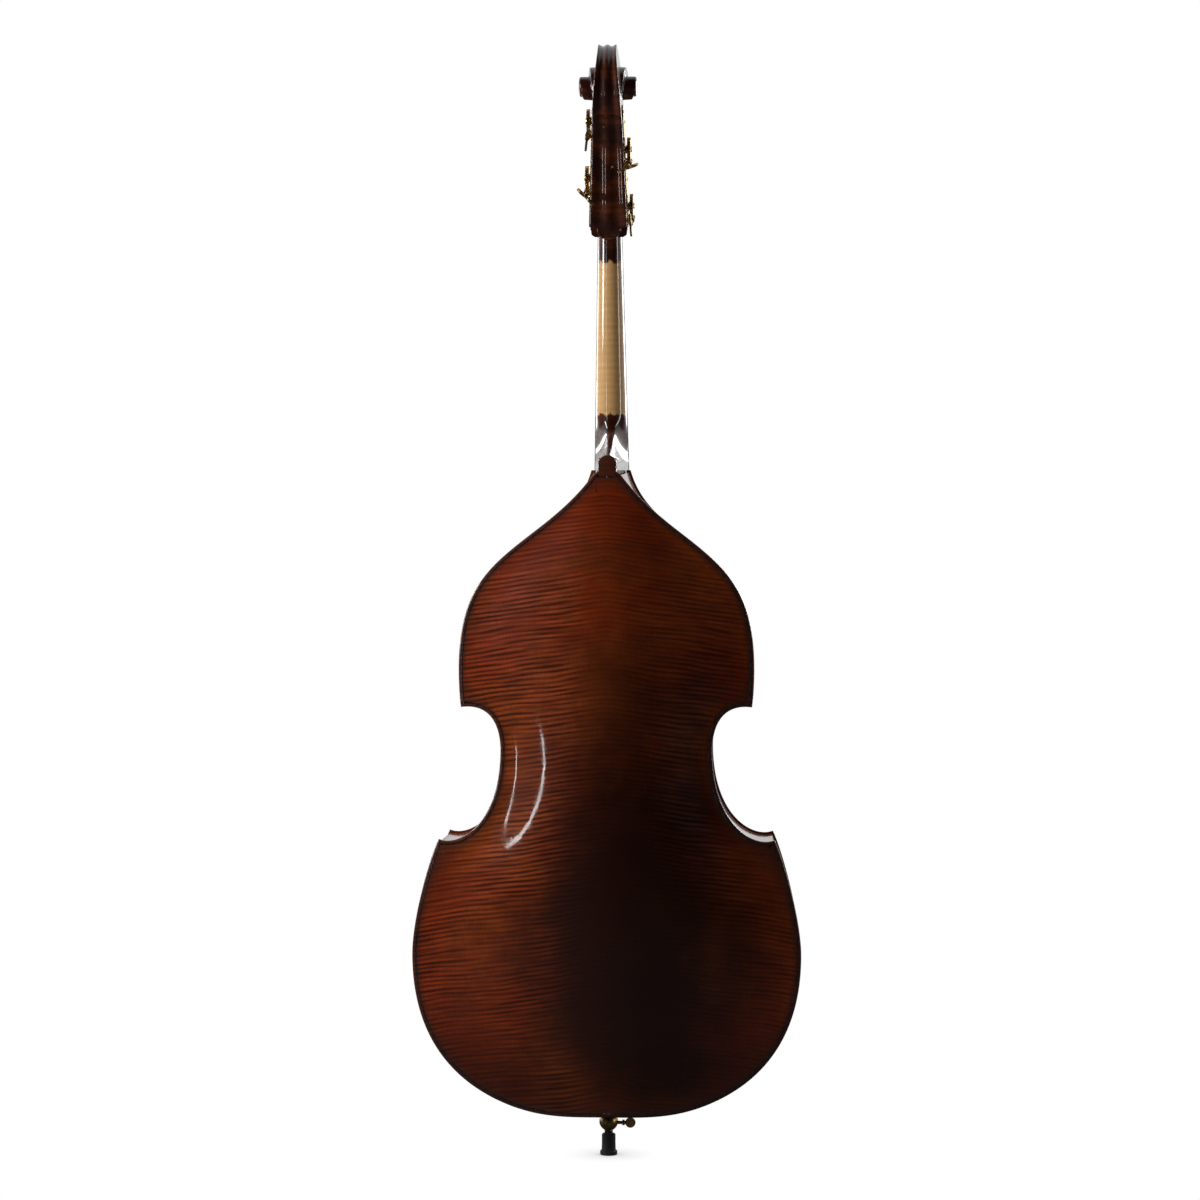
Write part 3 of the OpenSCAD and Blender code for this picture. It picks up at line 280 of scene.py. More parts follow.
def skin(loops, caps=True):
    """Vertices and quads that join equal closed loops, with ladders across the first and last."""
    n, count = len(loops[0]), len(loops)
    faces = [(k * n + j, k * n + (j + 1) % n, (k + 1) * n + (j + 1) % n, (k + 1) * n + j)
             for k in range(count - 1) for j in range(n)]
    if caps:
        h = n // 2
        for e in (0, (count - 1) * n):
            faces += [(e + i, e + n - i, e + n - i - 1, e + i + 1) for i in range(1, h - 1)]
            faces += [(e, e + n - 1, e + 1), (e + h - 1, e + h + 1, e + h)]
    return np.vstack(loops), faces


EDGE_T, EDGE_ROUND = 6.0, 2.4
GROOVE_OUT, GROOVE_IN, GROOVE_DEEP = 5.0, 7.4, 1.6


def carved_plate(name, edge, half, arch, side, rise, thick, profile):
    """A carved plate: rounded edge, purfling groove, and a dome that swells from the arching's edge."""
    dome = Arching(arch, rise, profile)

    def base(z):
        return back_y(z) if side > 0 else np.full(len(z), HALF_DEPTH)

    def flat(h, up):
        return loop3(h, base(h[:, 1]) + up, side)

    def domed(t, up, share):
        q = on_line(arch, t)
        return loop3(q, base(q[:, 1]) + up + share * dome.at(q[:, 0], q[:, 1]), side)

    loops = [domed(t, 0, 1 + (EDGE_T - thick) / rise) for t in (0.985, 0.8, 0.6, 0.4, 0.25, 0.12, 0.04)]
    inner_loops = len(loops)
    loops += [flat(edge, 0), flat(edge, EDGE_T - EDGE_ROUND)]
    for a in (30, 60, 90):
        out = EDGE_ROUND * (1 - math.cos(math.radians(a)))
        loops.append(flat(inward(edge, out), EDGE_T - EDGE_ROUND * (1 - math.sin(math.radians(a)))))
    g_out, g_in = inward(half, GROOVE_OUT), inward(half, GROOVE_IN)
    loops += [flat(g_out, EDGE_T), flat(g_out, EDGE_T - GROOVE_DEEP),
              flat(g_in, EDGE_T - GROOVE_DEEP), flat(g_in, EDGE_T)]
    rim_loops = len(loops) - inner_loops
    loops += [domed(t, EDGE_T, 1) for t in np.linspace(0, 0.985, 34)]
    verts, faces = skin(loops)
    obj = new_object(name, verts, faces)
    count = len(loops[0])
    rim = np.zeros(len(verts))
    rim[inner_loops * count:(inner_loops + rim_loops) * count] = 1
    obj.data.attributes.new("rim", "FLOAT", "POINT").data.foreach_set("value", rim)
    tidy_normals(obj)
    return obj


def inlay(name, half, side, first, last):
    """The black strip in a plate's groove, one run on each side of the centre line."""
    gap = 0.05
    o, i = inward(half, GROOVE_OUT + gap)[first:last], inward(half, GROOVE_IN - gap)[first:last]
    low, shoulder, crown = EDGE_T - GROOVE_DEEP + gap, EDGE_T - 0.2, EDGE_T + 0.12

    def line(h, up):
        base = back_y(h[:, 1]) if side > 0 else np.full(len(h), HALF_DEPTH)
        return np.stack([h[:, 0], side * (base + up), h[:, 1]], 1)

    rings = [line(o, low), line(o, shoulder), line((o + i) / 2, crown), line(i, shoulder), line(i, low)]
    n, c = len(o), len(rings)
    verts, faces = [], []
    for m in (1, -1):
        start = len(verts) * n
        verts += [r * [m, 1, 1] for r in rings]
        faces += [(start + k * n + j, start + ((k + 1) % c) * n + j,
                   start + ((k + 1) % c) * n + j + 1, start + k * n + j + 1)
                  for k in range(c) for j in range(n - 1)]
        faces += [tuple(start + k * n for k in range(c)),
                  tuple(start + k * n + n - 1 for k in range(c))]
    obj = new_object(name, np.vstack(verts), faces)
    tidy_normals(obj)
    return obj


def rib_strip(name, first, last, mirror):
    """A bent rib between the two plates."""
    gap, out, inner, levels = 0.15, 4, 6, 13
    rings = []
    for d in (out, inner):
        f, b = inward(FRONT, d)[first:last + 1], inward(BACK, d)[first:last + 1]
        depth = back_y(b[:, 1]) - gap
        for k in range(levels):
            y = -HALF_DEPTH + gap + (depth + HALF_DEPTH - gap) * k / (levels - 1)
            w = ((y + HALF_DEPTH) / (back_y(b[:, 1]) + HALF_DEPTH))[:, None]
            p = f + (b - f) * w
            rings.append(np.stack([mirror * p[:, 0], y, p[:, 1]], 1))
    rings = rings[:levels] + rings[levels:][::-1]
    n, c = len(rings[0]), len(rings)
    faces = [(k * n + j, ((k + 1) % c) * n + j, ((k + 1) % c) * n + j + 1, k * n + j + 1)
             for k in range(c) for j in range(n - 1)]
    for e in (0, n - 1):
        faces += [(k * n + e, (k + 1) * n + e, (c - 2 - k) * n + e, (c - 1 - k) * n + e)
                  for k in range(levels - 1)]
    obj = new_object(name, np.vstack(rings), faces)
    tidy_normals(obj)
    return obj


def prism(name, points, lo, hi, place):
    """A polygon pushed from lo to hi; place puts (u, v, w) where it belongs."""
    pts = [tuple(p) for p in points]
    n = len(pts)
    verts = [place(u, v, w) for w in (lo, hi) for u, v in pts]
    faces = [tuple(range(n)), tuple(range(2 * n - 1, n - 1, -1))]
    faces += [(j, (j + 1) % n, n + (j + 1) % n, n + j) for j in range(n)]
    obj = new_object(name, verts, faces)
    tidy_normals(obj)
    return obj


def box_mesh(name, lo, hi):
    (x0, y0, z0), (x1, y1, z1) = lo, hi
    return prism(name, [(x0, y0), (x1, y0), (x1, y1), (x0, y1)], z0, z1, lambda u, v, w: (u, v, w))


def join(objs):
    """One object from several, their shells left as they are."""
    bm = bmesh.new()
    for o in objs:
        bm.from_mesh(o.data)
    bm.to_mesh(objs[0].data)
    bm.free()
    for o in objs[1:]:
        bpy.data.objects.remove(o)
    return objs[0]


# ---- sound holes ----
F_UPPER, F_LOWER = np.array([80.0, 685.0]), np.array([150.0, 498.0])
F_EYES, F_WIDTH = (9.5, 13.0), 13.0
CUT_REACH = 60


def ring(centre, r, n=40):
    return [centre + heading(360 * k / n, r) for k in range(n)]


def sound_hole(m):
    def place(u, v, w):
        return (m * u, w, v)

    stem = [F_UPPER + [8, 4], F_UPPER + [46, 46], F_LOWER + [-50, -46], F_LOWER + [-12, -4]]
    n = 40
    spine = np.vstack([run(stem, n), [stem[3]]])
    way = np.gradient(spine, axis=0)
    way /= np.linalg.norm(way, axis=1)[:, None]
    wide = (F_WIDTH * (0.2 + 0.3 * np.sin(np.linspace(0, math.pi, n + 1))))[:, None]
    across = np.stack([-way[:, 1], way[:, 0]], 1) * wide
    shapes = [ring(F_UPPER, F_EYES[0]), ring(F_LOWER, F_EYES[1]),
              list(spine + across) + list((spine - across)[::-1])]
    shapes.append([spine[n // 2] + p for p in ([-11, 0], [0, -4], [11, 0], [0, 4])])
    cutter = None
    for k, shape in enumerate(shapes):
        # Each shape is a little longer than the one before, so that no two end faces share a plane
        longer = 0.01 * k
        part = prism("hole", shape, -HALF_DEPTH - CUT_REACH - longer, -HALF_DEPTH + EDGE_T + longer, place)
        cutter = part if cutter is None else boolean(cutter, part, "UNION")
    return cutter


# ---- neck ----
NUT_Z, NECK_LEAN, HEAD_LEAN, GLUE_Y = 1620.0, 10.9, 17.0, -54.0
HEAD_DROP = 9.0
BOARD_TOP_W, BOARD_LOW_W, BOARD_LEN = 21.5, 41.0, 860.0
KEEL_W, HEEL_TOP, BUTTON_TOP = 5.0, 1308.0, BUTTON_Z + BUTTON_R
SECTION_N = 30
HEEL_GAP = 0.1


def glue_plane(z):
    return GLUE_Y - (NUT_Z - z) * math.tan(math.radians(NECK_LEAN))


def board_half(z):
    return BOARD_TOP_W + (BOARD_LOW_W - BOARD_TOP_W) * (NUT_Z - z) / (
        BOARD_LEN * math.cos(math.radians(NECK_LEAN)))


def neck_section(z):
    """Half cross-section of the neck at height z, from the middle of its back to the fingerboard."""
    f = np.arange(SECTION_N + 1) / SECTION_N
    blend = float(ease((z - BUTTON_TOP - 15) / (HEEL_TOP - BUTTON_TOP - 15)))
    r, g = board_half(z) - 0.5, glue_plane(z) + 0.05
    root = BUTTON_R - 0.4
    k = root if z < BUTTON_Z else max(KEEL_W, math.sqrt(max(0, root ** 2 - (z - BUTTON_Z) ** 2)))
    if z <= BUTTON_TOP:
        y0 = back_y(z) - HEEL_GAP
    else:
        s = np.clip((z - BUTTON_TOP) / (HEEL_TOP - BUTTON_TOP), 0, 1)
        low = glue_plane(z) + r
        y0 = low + (back_y(BUTTON_TOP) - HEEL_GAP - low) * (1 - s) ** 3.4
    round_p = np.stack([r * np.sin(f * math.pi / 2), g + (y0 - g) * np.cos(f * math.pi / 2)], 1)
    u = np.clip((f - 2 / 9) / (7 / 9), 0, 1)
    x = np.where(f < 2 / 9, np.interp(f, [0, 1 / 9, 2 / 9], [0, k * 0.7, k]), k + (r - k) * u ** 1.9)
    y = np.where(f < 2 / 9, np.interp(f, [0, 1 / 9, 2 / 9], [y0, y0 - 0.4, y0 - 2]),
                 y0 - 2 + (g - y0 + 2) * u)
    heel_p = np.stack([x, y], 1)
    return heel_p + (round_p - heel_p) * blend


def neck_shell():
    levels = np.concatenate([np.linspace(TOP - 2, HEEL_TOP, 60), np.linspace(HEEL_TOP, NUT_Z + 10, 30)[1:]])
    loops = []
    for z in levels:
        h = neck_section(z)
        right = np.stack([h[:, 0], h[:, 1], np.full(len(h), z)], 1)
        loops.append(np.vstack([right, (right * [-1, 1, 1])[:0:-1]]))
    n, count = len(loops[0]), len(loops)
    verts, faces = skin(loops, caps=False)
    faces += [tuple(range(n)), tuple(range((count - 1) * n, count * n))]
    obj = new_object("neck_shell", verts, faces)
    tidy_normals(obj)
    return obj


# ---- head, in its own leaning frame: y backwards, z up from the nut ----
EYE = np.array([5.0, 267.0])
SCROLL_R, TURN_RATIO = 73.0, 0.48
EYE_R, EYE_HALF = 17.5, 50.5
VOLUTE_START, VOLUTE_TURN = 225.0, 450.0
VOLUTE_HALF, VOLUTE_GROW = 19.0, 26.0
CHEEK_LOW, CHEEK_HIGH = (33.0, 22.0), (25.0, 236.0)
BAND = [(30, 32.7), CHEEK_HIGH[::-1], (252, 24), (276, 22.5), (306, 19), (330, 16.5), (350, 15.5)]
SLOT_HALF, SLOT_LOW, SLOT_HIGH, SLOT_FLOOR = 17.5, 30.0, 222.0, 40.0


def from_head(x, y, z):
    a = math.radians(HEAD_LEAN)
    return (x, GLUE_Y + y * math.cos(a) + z * math.sin(a),
            NUT_Z - HEAD_DROP - y * math.sin(a) + z * math.cos(a))


def to_head(p):
    """World points in millimetres to the head's frame."""
    a = math.radians(HEAD_LEAN)
    y, z = p[:, 1] - GLUE_Y, p[:, 2] - (NUT_Z - HEAD_DROP)
    return np.stack([p[:, 0], y * math.cos(a) - z * math.sin(a), y * math.sin(a) + z * math.cos(a)], 1)


def spiral(a):
    return SCROLL_R * (1 + 0.0009 * (90 - a)) if a < 90 else SCROLL_R * TURN_RATIO ** ((a - 90) / 360)


def cheek(z):
    (w0, z0), (w1, z1) = CHEEK_LOW, CHEEK_HIGH
    return w0 + (w1 - w0) * (z - z0) / (z1 - z0)


def band_half(z):
    return np.interp(z, [p[0] for p in BAND], [p[1] for p in BAND])


def back_line():
    """The profile of the pegbox's back, from over the scroll down to the chin."""
    scroll = [EYE + heading(a, spiral(a)) for a in range(249, -34, -3)]
    down = [run([(66, 224), (60, 205), (52, 190), (53, 160)], 12),
            run([(53, 160), (54, 120), (59, 90), (58, 52)], 12),
            run([(58, 52), (57, 26), (50, 4), (34, 3)], 14)]
    return np.vstack([scroll] + down + [[(34, 3)]])


def head_shells():
    front = [(10, 8), (0.5, 12), (-1, 20), (-5, 34), (-6, 60), (-6, 200), (-4, 225)]
    side = prism("head", list(map(tuple, front)) + list(map(tuple, back_line())), -60, 60,
                 lambda u, v, w: from_head(w, u, v))
    right = [(0, 24) + heading(a, 20) for a in range(-90, 1, 6)]
    right += [(20.5, 27), (22, 28), (31.5, 28), (cheek(30), 30)] + [(w, z) for z, w in BAND[1:]]
    outline = [tuple(p) for p in right] + [(-p[0], p[1]) for p in right[:0:-1]]
    face = prism("face", outline, -100, 120, lambda u, v, w: from_head(u, w, v))
    head = boolean(side, face, "INTERSECT")
    slot = prism("slot", [(-SLOT_HALF, SLOT_LOW), (SLOT_HALF, SLOT_LOW), (SLOT_HALF, SLOT_HIGH),
                          (-SLOT_HALF, SLOT_HIGH)], -40, SLOT_FLOOR,
                 lambda u, v, w: from_head(u, w, v))
    head = boolean(head, slot, "DIFFERENCE")
    shells = [head]
    for m in (1, -1):
        shells.append(prism("shoulder", [(16, 8), (25, 8), (31, 12), CHEEK_LOW, (cheek(34), 34), (20, 34)],
                            1, 34, lambda u, v, w, m=m: from_head(m * u, w, v)))
    layers = 56
    for k in range(layers + 1):
        share = k / layers
        start = VOLUTE_START + VOLUTE_TURN * share
        shrink = 0.985 - 0.06 * share
        edge = [EYE + heading(a, spiral(a) * shrink) for a in np.arange(start, start + 361, 6)]
        half = VOLUTE_HALF + VOLUTE_GROW * share
        shells.append(prism("volute", edge, -half, half, lambda u, v, w: from_head(w, u, v)))
    for bulge, r in ((0, EYE_R), (1.4, EYE_R - 1.6), (2.2, EYE_R - 4.5)):
        shells.append(prism("eye", ring(EYE, r), -EYE_HALF + 2.2 - bulge, EYE_HALF - 2.2 + bulge,
                            lambda u, v, w: from_head(w, u, v)))
    return shells


VOXEL = 1.3
FLUTE_DEPTH = 3.0


def carve_flutes(obj):
    """Presses two flutes and leaves a ridge between them along the pegbox's back and over the scroll."""
    mesh = obj.data
    co = np.empty(len(mesh.vertices) * 3)
    mesh.vertices.foreach_get("co", co)
    co = co.reshape(-1, 3)
    p = to_head(co / MM)
    line = back_line()
    seg_a, seg_b = line[:-1], line[1:]
    d = seg_b - seg_a
    long = (d ** 2).sum(1)
    near = np.where((p[:, 2] > -5) & (np.abs(p[:, 0]) < 36))[0]
    q = p[near][:, 1:]
    t = np.clip(((q[:, None] - seg_a[None]) * d[None]).sum(2) / long[None], 0, 1)
    away = q[:, None] - (seg_a[None] + t[..., None] * d[None])
    dist = np.linalg.norm(away, axis=2)
    best = dist.argmin(1)
    rows = np.arange(len(near))
    gap = dist[rows, best]
    tangent = d[best] / np.sqrt(long[best])[:, None]
    inner = np.stack([-tangent[:, 1], tangent[:, 0]], 1)
    inner *= np.sign(((EYE - q) * inner).sum(1) + 1e-9)[:, None]
    low = q[:, 1] < 200
    inner[low] = np.stack([-np.abs(tangent[low, 1]), tangent[low, 0] * np.sign(tangent[low, 1] + 1e-9)], 1)
    half = band_half(q[:, 1])
    share = np.abs(p[near][:, 0]) / half
    groove = np.sin(math.pi * np.clip((share - 0.05) / 0.85, 0, 1)) ** 1.6
    along = np.concatenate([[0], np.cumsum(np.sqrt(long))])
    place = along[best] + t[rows, best] * np.sqrt(long[best])
    fade = ease(place / 60) * ease((along[-1] - place) / 60)
    push = FLUTE_DEPTH * groove * fade * np.clip(1.6 - gap / 2.0, 0, 1)
    q2 = q + inner * push[:, None]
    moved = np.array([from_head(x, y, z) for x, (y, z) in zip(p[near][:, 0], q2)])
    co[near] = moved * MM
    mesh.vertices.foreach_set("co", co.ravel())
    mesh.update()


def neck_and_scroll():
    mortise = box_mesh("tenon", (-15.9, -HALF_DEPTH + 1, TOP - 32), (15.9, back_y(TOP) - 15, TOP + 28))
    obj = join([neck_shell(), mortise] + head_shells())
    obj.name = "neck_and_scroll"
    remesh = obj.modifiers.new("remesh", "REMESH")
    remesh.mode = "VOXEL"
    remesh.voxel_size = VOXEL * MM
    smooth = obj.modifiers.new("smooth", "SMOOTH")
    smooth.factor = 0.5
    smooth.iterations = 4
    baked(obj)
    carve_flutes(obj)
    return obj


# ---- material helpers ----


class Shader:
    """A node tree with short calls for the nodes that the materials use."""

    def __init__(self, name):
        self.material = bpy.data.materials.new(name)
        self.material.use_nodes = True
        self.tree = self.material.node_tree
        self.tree.nodes.clear()
        out = self.add("ShaderNodeOutputMaterial")
        self.bsdf = self.add("ShaderNodeBsdfPrincipled")
        self.tree.links.new(self.bsdf.outputs[0], out.inputs[0])
        self.coords = self.add("ShaderNodeTexCoord").outputs["Object"]
        split = self.add("ShaderNodeSeparateXYZ")
        self.put(split.inputs[0], self.coords)
        self.x, self.y, self.z = split.outputs

    def add(self, kind, **props):
        n = self.tree.nodes.new(kind)
        for k, v in props.items():
            setattr(n, k, v)
        return n

    def put(self, socket, value):
        if isinstance(value, bpy.types.NodeSocket):
            self.tree.links.new(value, socket)
        elif isinstance(value, tuple) and len(value) == 3 and len(socket.default_value) == 4:
            socket.default_value = (*value, 1)
        else:
            socket.default_value = value

    def math(self, op, a, b=0.0, c=0.0, clamp=False):
        n = self.add("ShaderNodeMath", operation=op, use_clamp=clamp)
        for i, v in enumerate((a, b, c)):
            self.put(n.inputs[i], v)
        return n.outputs[0]

    def vector(self, x, y, z):
        n = self.add("ShaderNodeCombineXYZ")
        for i, v in enumerate((x, y, z)):
            self.put(n.inputs[i], v)
        return n.outputs[0]

    def scaled(self, x, y, z):
        """The place on the object, stretched by a factor along each axis."""
        return self.vector(self.math("MULTIPLY", self.x, x), self.math("MULTIPLY", self.y, y),
                           self.math("MULTIPLY", self.z, z))

    def noise(self, vector, scale, detail=2.0, rough=0.5):
        n = self.add("ShaderNodeTexNoise")
        self.put(n.inputs["Vector"], vector)
        n.inputs["Scale"].default_value = scale
        n.inputs["Detail"].default_value = detail
        n.inputs["Roughness"].default_value = rough
        return n.outputs[0]

    def span(self, value, lo, hi, to_lo=0.0, to_hi=1.0, smooth=True):
        n = self.add("ShaderNodeMapRange", interpolation_type="SMOOTHSTEP" if smooth else "LINEAR")
        for i, v in enumerate((value, lo, hi, to_lo, to_hi)):
            self.put(n.inputs[i], v)
        return n.outputs[0]

    def mix(self, share, a, b, blend="MIX"):
        n = self.add("ShaderNodeMix", data_type="RGBA", blend_type=blend)
        self.put(n.inputs["Factor"], share)
        self.put(n.inputs[6], a)
        self.put(n.inputs[7], b)
        return n.outputs[2]

    def bump(self, height, strength, distance, normal=None):
        n = self.add("ShaderNodeBump")
        n.inputs["Strength"].default_value = strength
        n.inputs["Distance"].default_value = distance
        self.put(n.inputs["Height"], height)
        if normal is not None:
            self.put(n.inputs["Normal"], normal)
        return n.outputs[0]

    def set(self, **values):
        for k, v in values.items():
            self.put(self.bsdf.inputs[k.replace("_", " ")], v)
        return self.material


def flame(s, lean, pitch):
    """Curly maple: narrow broken stripes across the grain, mirrored about the centre joint."""
    ax = s.math("ABSOLUTE", s.x)
    drift = s.noise(s.vector(ax, s.y, s.z), 5.0, 1.0)
    v = s.math("ADD", s.z, s.math("MULTIPLY", ax, lean))
    v = s.math("ADD", v, s.math("MULTIPLY", drift, 0.022))
    streak = s.noise(s.vector(s.math("MULTIPLY", ax, 15.0), s.math("MULTIPLY", s.y, 15.0),
                              s.math("MULTIPLY", v, 205.0)), 1.0, 2.0, 0.5)
    phase = s.math("ADD", s.math("MULTIPLY", v, 2 * math.pi / pitch),
                   s.math("MULTIPLY", s.noise(s.vector(s.math("MULTIPLY", ax, 9.0), s.y,
                                                       s.math("MULTIPLY", v, 18.0)), 1.0, 1.0), 7.0))
    wave = s.math("MULTIPLY_ADD", s.math("SINE", phase), 0.5, 0.5)
    both = s.math("ADD", s.math("MULTIPLY", s.span(streak, 0.32, 0.68), 0.45),
                  s.math("MULTIPLY", wave, 0.55))
    patch = s.span(s.noise(s.vector(ax, s.y, s.z), 6.0, 3.0), 0.35, 0.65, 0.35, 1.0)
    fade = s.span(ax, 0.02, 0.09, 0.35, 1.0)
    return s.math("MULTIPLY_ADD", s.math("SUBTRACT", both, 0.5), s.math("MULTIPLY", patch, fade), 0.5)


def pores(s, across=1400.0, along=40.0):
    """Fine short fibre lines along the grain."""
    return s.noise(s.scaled(across, across, along), 1.0, 1.0)


def fibre_normal(s, flame_value, steady, swing):
    """Normal of the wood under the varnish: fibres lean one way on each half, and swing with the flame."""
    geometry = s.add("ShaderNodeNewGeometry")
    side = s.math("MULTIPLY_ADD", s.span(s.x, -0.07, 0.07), 2.0, -1.0)
    lean = s.math("MULTIPLY_ADD", s.math("SUBTRACT", flame_value, 0.5), swing, steady)
    tilt = s.add("ShaderNodeVectorMath", operation="ADD")
    s.put(tilt.inputs[0], geometry.outputs["Normal"])
    s.put(tilt.inputs[1], s.vector(s.math("MULTIPLY", side, lean), 0.0, 0.0))
    unit = s.add("ShaderNodeVectorMath", operation="NORMALIZE")
    s.put(unit.inputs[0], tilt.outputs[0])
    return unit.outputs[0]


def stain_and_painted_shade(s):
    """Share of dark varnish, partly real shaded varnish and partly painted shade away from the light on the
    upper +x side: deep in the middle of the lower bouts, centred a little towards -x, and at the low edge,
    patchy elsewhere.
    """
    across = s.math("MULTIPLY", s.math("ADD", s.x, 0.045), 1 / 0.22)
    up = s.math("MULTIPLY", s.math("SUBTRACT", s.z, 0.42), 1 / 0.50)
    ragged = s.math("MULTIPLY", s.math("SUBTRACT", s.noise(s.coords, 6.0, 4.0, 0.6), 0.5), 1.1)
    r = s.math("ADD", s.math("SQRT", s.math("ADD", s.math("MULTIPLY", across, across),
                                            s.math("MULTIPLY", up, up))), ragged)
    low_edge = s.span(s.z, 0.10, 0.34, 0.75, 0.0)
    worn = s.span(s.noise(s.coords, 9.0, 5.0, 0.6), 0.42, 0.66, 0.0, 0.45)
    return s.math("MAXIMUM", s.math("MAXIMUM", s.span(r, 0.35, 1.45, 0.92, 0.0), low_edge), worn)


def varnished_maple(name, pitch=0.0082, lean=0.13, steady=0.22, swing=0.35):
    s = Shader(name)
    f = flame(s, lean, pitch)
    grain = pores(s)
    cloud = s.noise(s.coords, 4.5, 4.0, 0.55)
    dark = s.mix(s.span(cloud, 0.3, 0.7), (0.055, 0.008, 0.003), (0.100, 0.018, 0.006))
    light = s.mix(s.span(cloud, 0.35, 0.65), (0.25, 0.029, 0.004), (0.39, 0.075, 0.010))
    wood = s.mix(s.span(f, 0.1, 0.9), dark, light)
    wood = s.mix(s.span(grain, 0.35, 0.65, 0.0, 0.22), wood, (0.03, 0.006, 0.003))
    # Painted shade: this dark mask is partly real shaded varnish and partly shade on the side away from the
    # key light
    wood = s.mix(stain_and_painted_shade(s), wood, (0.010, 0.0035, 0.0026))
    rim = s.add("ShaderNodeAttribute", attribute_name="rim").outputs["Fac"]
    wood = s.mix(s.math("MULTIPLY", rim, 0.7), wood, (0.030, 0.014, 0.010))
    scuff = s.noise(s.coords, 30.0, 4.0, 0.6)
    s.set(Base_Color=wood, Roughness=s.span(scuff, 0.3, 0.8, 0.38, 0.5),
          Normal=s.bump(grain, 0.12, 0.0004, fibre_normal(s, f, steady, swing)),
          Coat_Weight=1.0, Coat_IOR=1.5,
          Coat_Roughness=s.span(scuff, 0.35, 0.8, 0.05, 0.13),
          Coat_Normal=s.bump(s.noise(s.coords, 55.0, 2.0), 0.05, 0.002))
    s.bsdf.inputs["Specular IOR Level"].default_value = 0.04
    return s.material


def neck_maple():
    """Dark varnish on the head and the heel, bare oiled maple where the hand slides."""
    s = Shader("neck_maple")
    f = flame(s, 0.0, 0.012)
    grain = pores(s, 1100.0, 30.0)
    ragged = s.math("MULTIPLY", s.math("SUBTRACT", s.noise(s.coords, 160.0, 2.0), 0.5), 0.012)
    tongue = s.math("MULTIPLY", s.math("COSINE", s.math("MULTIPLY", s.x, 2 * math.pi / 0.017)), 0.0028)
    top = s.math("ADD", s.math("SUBTRACT", s.z, tongue), ragged)
    low = s.math("SUBTRACT", s.math("SUBTRACT", s.z, tongue), ragged)
    stained = s.math("ADD", s.span(top, 1.565, 1.570), s.span(low, 1.300, 1.304, 1.0, 0.0), clamp=True)
    patch = s.span(s.noise(s.coords, 22.0, 3.0), 0.42, 0.62)
    dark = s.mix(s.span(f, 0.0, 1.0), (0.020, 0.005, 0.003), s.mix(patch, (0.030, 0.007, 0.004),
                                                                   (0.12, 0.028, 0.010)))
    bare = s.mix(s.span(f, 0.15, 0.85), (0.50, 0.27, 0.095), (0.74, 0.47, 0.21))
    bare = s.mix(s.span(grain, 0.35, 0.7, 0.0, 0.3), bare, (0.42, 0.21, 0.07))
    colour = s.mix(stained, bare, dark)
    s.set(Base_Color=colour, Roughness=s.span(stained, 0, 1, 0.42, 0.36, smooth=False),
          Normal=s.bump(grain, 0.15, 0.0004), Coat_Weight=1.0,
          Coat_Roughness=s.span(s.noise(s.coords, 40.0, 3.0), 0.3, 0.8, 0.06, 0.14))
    s.bsdf.inputs["Specular IOR Level"].default_value = 0.08
    return s.material


def varnished_spruce():
    s = Shader("varnished_spruce")
    wander = s.math("MULTIPLY", s.noise(s.vector(s.math("MULTIPLY", s.x, 2.0), s.y, s.z), 3.0, 2.0), 0.02)
    ax = s.math("ADD", s.math("ABSOLUTE", s.x), wander)
    width = s.math("MULTIPLY_ADD", s.noise(s.vector(s.math("MULTIPLY", ax, 14.0), 0.0, 0.0), 1.0, 1.0),
                   2.6, s.math("MULTIPLY", ax, 480.0))
    year = s.math("FRACT", width)
    late = s.math("POWER", year, 3.0)
    silk = s.noise(s.scaled(1600.0, 1.0, 26.0), 1.0, 2.0)
    cloud = s.noise(s.coords, 3.0, 3.0)
    early = s.mix(s.span(cloud, 0.3, 0.7), (0.150, 0.030, 0.007), (0.215, 0.052, 0.011))
    wood = s.mix(late, early, (0.045, 0.009, 0.004))
    wood = s.mix(s.span(silk, 0.4, 0.7, 0.0, 0.35), wood, (0.075, 0.015, 0.006))
    s.set(Base_Color=wood, Roughness=0.42, Normal=s.bump(s.math("ADD", late, silk), 0.12, 0.0004),
          Coat_Weight=1.0, Coat_Roughness=s.span(s.noise(s.coords, 30.0, 4.0), 0.3, 0.8, 0.06, 0.16))
    s.bsdf.inputs["Specular IOR Level"].default_value = 0.08
    return s.material


def ebony():
    s = Shader("ebony")
    grain = s.noise(s.scaled(900.0, 900.0, 18.0), 1.0, 3.0)
    colour = s.mix(s.span(grain, 0.4, 0.75), (0.006, 0.005, 0.0045), (0.022, 0.015, 0.011))
    s.set(Base_Color=colour, Roughness=s.span(grain, 0.3, 0.8, 0.26, 0.42),
          Normal=s.bump(grain, 0.15, 0.0003))
    return s.material


def inlay_black():
    s = Shader("inlay_black")
    wear = s.noise(s.coords, 120.0, 3.0)
    s.set(Base_Color=s.mix(s.span(wear, 0.4, 0.8), (0.008, 0.006, 0.005), (0.03, 0.016, 0.011)),
          Roughness=s.span(wear, 0.3, 0.7, 0.3, 0.5), Coat_Weight=0.5)
    return s.material


def inner_wood():
    s = Shader("inner_wood")
    grain = s.noise(s.scaled(500.0, 500.0, 20.0), 1.0, 3.0)
    s.set(Base_Color=s.mix(s.span(grain, 0.3, 0.7), (0.50, 0.34, 0.17), (0.68, 0.50, 0.28)),
          Roughness=0.7, Normal=s.bump(grain, 0.3, 0.0005))
    return s.material


